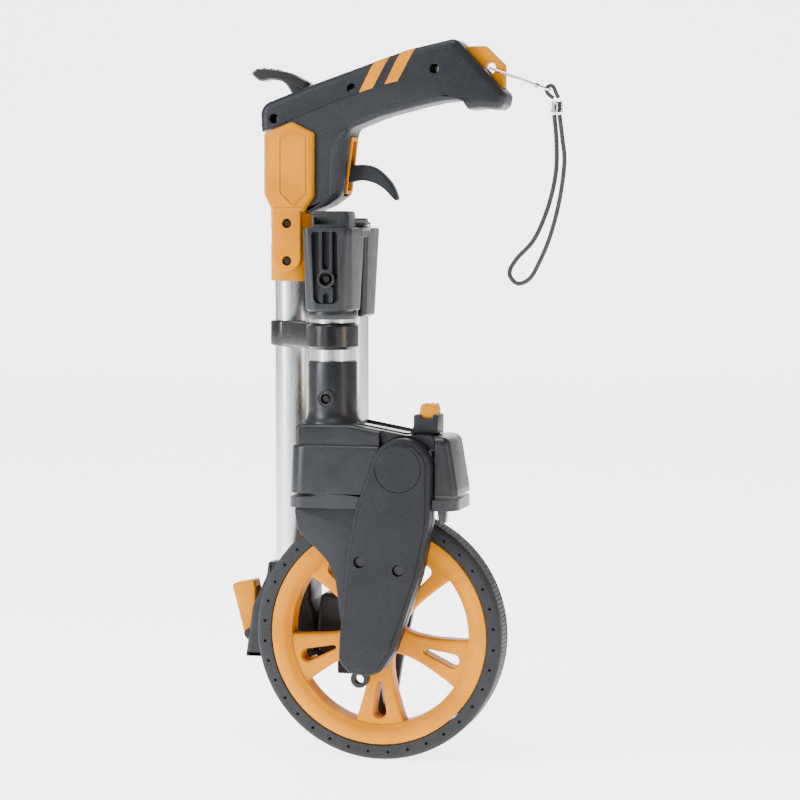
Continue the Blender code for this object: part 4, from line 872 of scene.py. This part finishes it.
def make_fold_hinge():
    x, z = FOLD_X, FOLD_Z
    side = rounded([(-83.5, 39, 2), (-84.5, 30, 14), (-94, 10, 30), (-99, z + 0.2, 1), (x - 0.6, z + 0.2, 0),
                    (x - 0.6, 6, 6), (-54.5, 14, 6), (-54.5, 39, 2)], 6)
    upper = plate("upper_hinge_block_fine", side, 24.3, 55.7, 3.2, 4)
    for k, (low, high) in enumerate(((24.3, 31.8), (48.2, 55.7))):
        join(upper, across(f"upper_knuckle_{k}", (x, z), low, high, KNUCKLE_R, 40))
    cut(upper, bore("upper_block_bore", UPPER, 5.4, 50),
        box("fold_tongue_pocket", (-87.3, 30.5, -30), (-62.4, 49.5, -13.2)),
        box("latch_channel", (-112, 32.2, -30), (-86.4, 47.8, 32)),
        across("upper_knuckle_room", (x, z), 31.5, 48.5, KNUCKLE_R + 0.7, 40),
        across("upper_block_pin_way", (x, z), 15, 65, HINGE_PIN_R + GAP, 32))
    join(upper, across("latch_ear_front", FOLD_LATCH_PIVOT, 27, 32.2, 3.2, 40),
         across("latch_ear_rear", FOLD_LATCH_PIVOT, 47.8, 53, 3.2, 40),
         across("latch_pin", FOLD_LATCH_PIVOT, 30, 50, 1.5, 24))
    finish(upper, charcoal, "handle", "upper_hinge_block")
    fold_side = rounded([(x + 0.6, z + 0.2, 0), (x + 0.6, 4, 4), (-47.5, 20, 4), (-16.5, 20, 4),
                         (-14.5, 4, 8), (-14.5, z + 0.2, 0)])
    fold = plate("fold_hinge_block_fine", fold_side, 24.3, 55.7, 3.2, 4)
    tongue = box("fold_tongue", (-38.2, 31, -33.5), (-15.5, 49, -20), 1.2)
    join(fold, tongue, across("fold_knuckle", (x, z), 32.2, 47.8, KNUCKLE_R, 40))
    cut(fold, bore("fold_block_bore", MIDDLE, 0.4, 30),
        across("fold_knuckle_room_0", (x, z), 20, 32.0, KNUCKLE_R + 0.7, 40),
        across("fold_knuckle_room_1", (x, z), 48.0, 60, KNUCKLE_R + 0.7, 40),
        across("fold_block_pin_way", (x, z), 15, 65, HINGE_PIN_R + GAP, 32))
    finish(fold, charcoal, "middle", "fold_hinge_block")
    wedge = rounded([(-110.5, 22.5, 2), (-95.5, 25.5, 1.5), (-94.2, 20, 1.5), (-94.2, -16, 2.5),
                     (-98.5, -16, 2.5), (-101.5, -12, 4)])
    latch = plate("fold_latch_fine", wedge, 32.8, 47.2, 1.2, 3)
    cut(latch, box("latch_hollow", (-105, 35.2, -2), (-90, 44.8, 21), 0.6),
        across("latch_bore", FOLD_LATCH_PIVOT, 25, 55, 1.9, 24))
    finish(latch, orange, "fold_latch", "fold_latch")


def make_clip():
    low, high = 179.5, 196.0
    clip = ring("tube_clip_fine", (*LOWER, 0), "Z", 16.4, TUBE_R + GAP, low, high, 96, 1.8)
    inner, outer = TUBE_R + GAP, TUBE_R + 3.0
    first, last = math.radians(172), math.radians(318)
    pieces = 30
    jaw = []
    for radius, a, b in ((outer, first, last), (inner, last, first)):
        for k in range(pieces + 1):
            angle = a + (b - a) * k / pieces
            jaw.append((UPPER[0] + radius * math.cos(angle), UPPER[1] + radius * math.sin(angle)))
    arm = rounded([(-74, 25.6, 1), (-47.4, -3, 3), (-45.2, 4, 0), (-47, 8, 0), (-63, 27.6, 1)])
    join(clip, plate("clip_jaw", jaw, low, high, 1.3, 4, plane="XY"),
         plate("clip_arm", arm, low, high, 1.8, 4, plane="XY"))
    cut(clip, upright("clip_bore", LOWER, 170, 205, TUBE_R + GAP, 96),
        upright("clip_jaw_bore", UPPER, 170, 205, TUBE_R + GAP, 96))
    finish(clip, glossy_black, "tube_clip", "tube_clip")


# -------------------- handle

SPINE_TOP = [(-87.6, 321, 6), (-88.0, 334.5, 15), (-55.7, 346.4, 60), (-7.3, 362.8, 90), (10.2, 368.6, 60),
             (40.5, 375.2, 6), (73.6, 339.5, 5), (71.3, 329.8, 7), (57.0, 331.0, 14)]
SEAM = [(43, 336.6), (35, 339.4), (25, 343.2), (16, 346.4), (8, 348.4), (0, 347.8), (-12, 344.5),
        (-27, 339.8), (-52, 330.8), (-77, 320.9)]
SPINE_SCREWS = [(-78.0, 325.6), (-26.5, 344.4), (27.5, 356.0)]
STRIPES = [[(-12.6, 359), (-2.8, 361.9), (-13.1, 343.3), (-21.9, 340.8)],
           [(4.5, 364.8), (14.2, 367.4), (3.7, 348.2), (-5, 345.9)]]


def spine_solid(name, grow=0.0):
    """The handle's upper cover: rounded all along its top and nose, cut sharp along its seam."""
    lower = [(46, 330, 4), (14, 335, 20), (-12, 334, 20), (-52, 321, 20), (-86, 307, 4)]
    body = plate(name, rounded(SPINE_TOP + lower, 5), HANDLE_Y - HANDLE_HALF, HANDLE_Y + HANDLE_HALF,
                 5.2, 5, grow)
    knife = [(110, 400), (-110, 400), (-110, 317.3), (-86, 317.3)]
    knife += smooth(list(reversed(SEAM)), 4) + [(46, 335.5), (54, 322), (110, 322)]
    return keep(body, plate(f"{name}_knife", knife, 10, 70, grow=grow))


def half_line():
    """Make the cutter that parts the handle's two halves."""
    return box("half_line", (-140, HANDLE_Y - 0.14, 200), (120, HANDLE_Y + 0.14, 390))


def insert_outline(g):
    """Return the outline of the eyelet's insert, grown by g."""
    return rounded([(38 - g, 360, 0), (44.5 - g, 370.4 + g, 1.5), (58.3 + g, 370.4 + g, 2.5),
                    (70.6 + g, 358.3 + g, 2.5), (70.6 + g, 344 - g, 0), (60 - g, 342 - g, 0)], 12)


def make_spine():
    spine = spine_solid("handle_spine")
    wells = [across(f"spine_well_{k}", (x, z), 15.2, 38.9, 3.1, 36) for k, (x, z) in enumerate(SPINE_SCREWS)]
    pockets = [plate("insert_way", insert_outline(0.4), 35.6, 44.4),
               box("lever_way", (-72.5, 33.4, 332), (-53, 46.6, 356)),
               half_line()]
    cut(spine, *wells, *pockets)
    finish(spine, charcoal, "handle", "spine_front", "spine_rear")
    for k, corners in enumerate(STRIPES):
        stripe = spine_solid(f"handle_stripe_{k}", 0.12)
        top_left, top_right, low_right, low_left = [Vector(c) for c in corners]
        up_left, up_right = top_left - low_left, top_right - low_right
        slab = [tuple(low_left - up_left * 0.4), tuple(low_right - up_right * 0.4),
                tuple(top_right + up_right * 0.6), tuple(top_left + up_left * 0.6)]
        keep(stripe, plate(f"stripe_slab_{k}", slab, 15, 65))
        cut(stripe, plate(f"stripe_core_{k}", [(-60, 322), (30, 343), (30, 360), (-60, 334)], 26.5, 53.5))
        finish(stripe, orange, "handle")


def make_grip():
    outline = rounded([
        (-74, 328, 2), (-27, 345, 10), (8, 353, 10), (36, 345, 6), (46, 336.8, 3), (30, 335.2, 30),
        (14.6, 332.0, 40), (-7.4, 326.4, 40), (-28.0, 318.6, 9), (-29.0, 311.5, 8), (-33.0, 277.0, 8),
        (-43.0, 270.0, 8), (-58, 264.0, 2), (-62, 300, 10), (-72, 318, 4)], 5)
    grip = plate("handle_grip", outline, HANDLE_Y - 14.5, HANDLE_Y + 14.5, 3.6, 5)
    facet = rounded([(-41.8, 274.5, 4), (-40.3, 306, 16), (-34.5, 315, 8), (-27.5, 321, 3), (-30.5, 311, 6),
                     (-34.6, 278.5, 5)], 7)
    join(grip, plate("grip_facet", facet, HANDLE_Y - 15.4, HANDLE_Y + 15.4, 0.9, 4))
    room = [(-24.7, 313.9), (-36.0, 313.9), (-40.4, 277.1), (-29.1, 277.1)]
    cut(grip, plate("bezel_room", room, 32.7, 47.3), box("blade_room", (-49.5, 35.2, 276), (-32, 44.8, 308)),
        bore("tube_room", UPPER, 250, 300.4),
        half_line())
    join(grip, across("trigger_boss_front", TRIGGER_PIVOT, 27, 35.4, 3.4, 24))
    finish(grip, soft_grip, "handle", "grip_front", "grip_rear")


def make_yoke():
    head = rounded([(-65.8, 323.4, 2), (-51.1, 316.2, 2), (-51.1, 276.0, 4), (-57.6, 266, 2),
                    (-78.8, 266, 2), (-84.4, 277, 4), (-84.4, 316.2, 2)], 10)
    pad = rounded([(-59.8, 270, 0), (-59.8, 227.5, 9), (-78.4, 227.5, 9), (-78.4, 270, 0)], 8)
    panel = rounded([(-65.4, 318.2, 1.5), (-56.0, 314.0, 1.5), (-56.0, 277.4, 1.5), (-65.4, 268.6, 1.5),
                     (-74.6, 277.4, 1.5), (-74.6, 314.0, 1.5)], 12)
    yoke = plate("yoke_clamshell", head, 22, 58, 2.6, 4)
    collar = rectangle(-83.2, -54.8, 25.4, 54.6, 11, 11)
    sunk = grown(panel, -1.4)
    join(yoke, plate("yoke_collar", collar, 221.5, 272, 0.8, 3, plane="XY"),
         plate("yoke_pad", pad, 22.6, 57.4, 0.9, 3), plate("yoke_panel", panel, 21.5, 58.5, 0.45, 3))
    cut(yoke, plate("yoke_panel_floor", sunk, 18, 22.0), plate("yoke_panel_rear", sunk, 58.0, 62))
    cut(yoke, bore("yoke_bore", UPPER, 210, 300.4),
        box("yoke_notch", (-90, 25, 245.5), (-81.9, 39, 255.5), 0.6), half_line())
    for k, z in enumerate((258.5, 234.5)):
        cut(yoke, across(f"yoke_well_{k}", (-69, z), 15, 26, 3.1, 36))
    finish(yoke, orange, "handle", "yoke_front", "yoke_rear")
    insert = plate("eyelet_insert_fine", insert_outline(0), 36, 44, 1.0, 3)
    cut(insert, across("eyelet_hole", EYELET, 30, 50, 3.6, 36))
    finish(insert, orange, "handle", "eyelet_insert")


def make_levers():
    blade = smooth([(-40.1, 286.0), (-32.1, 284.6), (-23.6, 286.0), (-15.3, 284.4), (-8.5, 280.6),
                    (-3.3, 275.4), (-0.7, 273.2), (0.8, 274.8), (-2.5, 283.2), (-8.5, 290.2),
                    (-14.7, 294.6), (-22.1, 296.2), (-32.1, 295.6), (-40.1, 296.0)], 5)
    blade += [(-45.9, 294.2), (-48.0, 292.4), (-48.7, 290), (-48.0, 287.6), (-45.9, 285.8)]
    trigger = plate("trigger_fine", blade, 36, 44, 1.5, 4)
    cut(trigger, across("trigger_bore", TRIGGER_PIVOT, 30, 50, 1.8, 24))
    finish(trigger, soft_grip, "trigger", "trigger", angle=50)
    top = [(-95.6, 354.6), (-93.6, 357.4), (-89, 358.2), (-80, 357.4), (-70, 355.4), (-63, 352), (-56.4, 347)]
    under = [(-58.5, 333.5), (-62.5, 334.0), (-68, 340.6), (-74, 348.8), (-83, 351), (-90, 350.2)]
    lever = plate("thumb_lever_fine", smooth(top + under, 5, closed=True), 34, 46, 1.4, 3)
    ridges = [across(f"lever_ridge_{k}", (x, z), 35.2, 44.8, 0.85, 20)
              for k, (x, z) in enumerate(((-92.0, 357.5), (-87.5, 358.0), (-83.0, 357.6), (-78.5, 357.0)))]
    join(lever, *ridges)
    cut(lever, across("thumb_bore", THUMB_PIVOT, 30, 50, 1.5, 24))
    groove = smooth([(-73.5, 350.2), (-68, 348.2), (-63.5, 345.6), (-60.8, 342.2)], 5)
    for k, y in enumerate((34.0, 46.0)):
        cut(lever, wire(f"lever_groove_{k}", [(x, y, z) for x, z in groove], 0.55))
    finish(lever, glossy_black, "thumb_lever", "thumb_lever")


make_tyre()
make_rim()
make_cover()
make_fork()
make_housing()
make_tubes()
make_lower_hinge()
make_middle_hinge()
make_fold_hinge()
make_clip()
make_spine()
make_grip()
make_yoke()
make_levers()


# -------------------- carried-over pieces

CARRIED = {
    steel: ("axle", "drum_shaft", "reset_spring", "top_hinge_pin", "fold_hinge_pin", "trigger_pin",
            "spine_screw_end", "spine_screw_middle", "spine_screw_nose"),
    black_steel: ("cover_screw_left", "cover_screw_right", "socket_screw", "block_screw", "yoke_screw_upper",
                  "yoke_screw_lower"),
    brass: ("drive_pulley", "axle_bush_front", "axle_bush_rear"),
    white_plastic: ("counter_pulley", "counter_gear", "drum_gear", "digit_drum_units", "digit_drum_tens",
                    "digit_drum_hundreds"),
    belt_rubber: ("drive_belt",),
    orange: ("trigger_bezel",),
}
for material, names in CARRIED.items():
    for name in names:
        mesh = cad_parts[name].data
        mesh.materials.clear()
        mesh.materials.append(material)


# -------------------- studio

FLOOR_Z = CAD_BOX[0][2]
DARK_BEFORE_Y = -1.6           # metres
NEAR_FLOOR_R = 2.4
WALL_SLOPES = (-0.62, 0.06)    # X over Y at the two edges of the bright wall


def backdrop(name, darkest, palest, roughness, per_metre=3.0, glow=0.0):
    """A matt, faintly uneven material for the room, which may glow."""
    cloth = Finish(name)
    cloth.give("Base Color", cloth.mixed(cloth.noise(per_metre), (darkest,) * 3, (palest,) * 3))
    cloth.give("Roughness", cloth.ranged(cloth.noise(50.0), 0.3, 0.7, *roughness))
    cloth.give("Emission Color", (1.0, 1.0, 1.0))
    cloth.give("Emission Strength", glow)
    return cloth.material


def make_studio():
    """A pale floor that sweeps up into a bright wall behind, with a dark room in front of the object."""
    materials = (backdrop("studio_paper", 0.90, 0.93, (0.80, 0.95), glow=3.4),
                 backdrop("studio_dark_cloth", 0.10, 0.14, (0.85, 0.98), per_metre=5.0),
                 backdrop("studio_side_paper", 0.52, 0.56, (0.80, 0.95), glow=0.22))
    reach, height, bend = 9.0, 9.0, 3.0
    profile = [(0.0, 0.0), (0.8, 0.0), (1.2, 0.0), (2.4, 0.0), (reach - bend, 0.0)]
    for k in range(1, 13):
        angle = math.pi / 2 * k / 12
        profile.append((reach - bend + bend * math.sin(angle), bend - bend * math.cos(angle)))
    profile.append((reach, height))
    bm = bmesh.new()
    verts = [bm.verts.new((r, 0, h)) for r, h in profile]
    edges = [bm.edges.new(pair) for pair in zip(verts, verts[1:])]
    bmesh.ops.spin(bm, geom=verts + edges, cent=(0, 0, 0), axis=(0, 0, 1), dvec=(0, 0, 0), angle=2 * math.pi,
                   steps=64, use_merge=True)
    bmesh.ops.remove_doubles(bm, verts=bm.verts, dist=1e-5)
    lowest, highest = WALL_SLOPES
    for face in bm.faces:
        spot = face.calc_center_median()
        if spot.y < DARK_BEFORE_Y:
            face.material_index = 1
        elif spot.xy.length > NEAR_FLOOR_R and not lowest < spot.x / max(spot.y, 0.01) < highest:
            face.material_index = 2
    mesh = bpy.data.meshes.new("studio_floor")
    bm.to_mesh(mesh)
    bm.free()
    floor = hold("studio_floor", mesh, Matrix.Translation((0, 0, FLOOR_Z)))
    for material in materials:
        floor.data.materials.append(material)
    floor.data.shade_smooth()


def soft_light(name, place, size, power, colour, aim=(0.0, 0.03, 0.15)):
    data = bpy.data.lights.new(name, "AREA")
    data.shape = "RECTANGLE"
    data.size, data.size_y = size
    data.energy = power
    data.color = colour
    light = bpy.data.objects.new(name, data)
    light.location = place
    light.rotation_euler = (Vector(aim) - Vector(place)).to_track_quat("-Z", "Y").to_euler()
    bpy.context.scene.collection.objects.link(light)


make_studio()
soft_light("key_left", (-1.5, -1.25, 0.9), (0.6, 1.5), 62.0, (0.93, 0.97, 1.0))
soft_light("front_left", (-0.85, -2.3, 0.7), (0.7, 1.8), 6.0, (0.95, 0.98, 1.0))
soft_light("warm_right", (1.7, -0.7, 0.4), (0.35, 1.2), 10.0, (1.0, 0.80, 0.62))
soft_light("top", (-0.1, -0.3, 2.0), (1.2, 1.2), 34.0, (1.0, 1.0, 1.0))
world = bpy.data.worlds.new("studio_world")
world.use_nodes = True
world.node_tree.nodes["Background"].inputs["Color"].default_value = (0.96, 0.98, 1.0, 1.0)
world.node_tree.nodes["Background"].inputs["Strength"].default_value = 0.3
bpy.context.scene.world = world

bpy.context.view_layer.update()
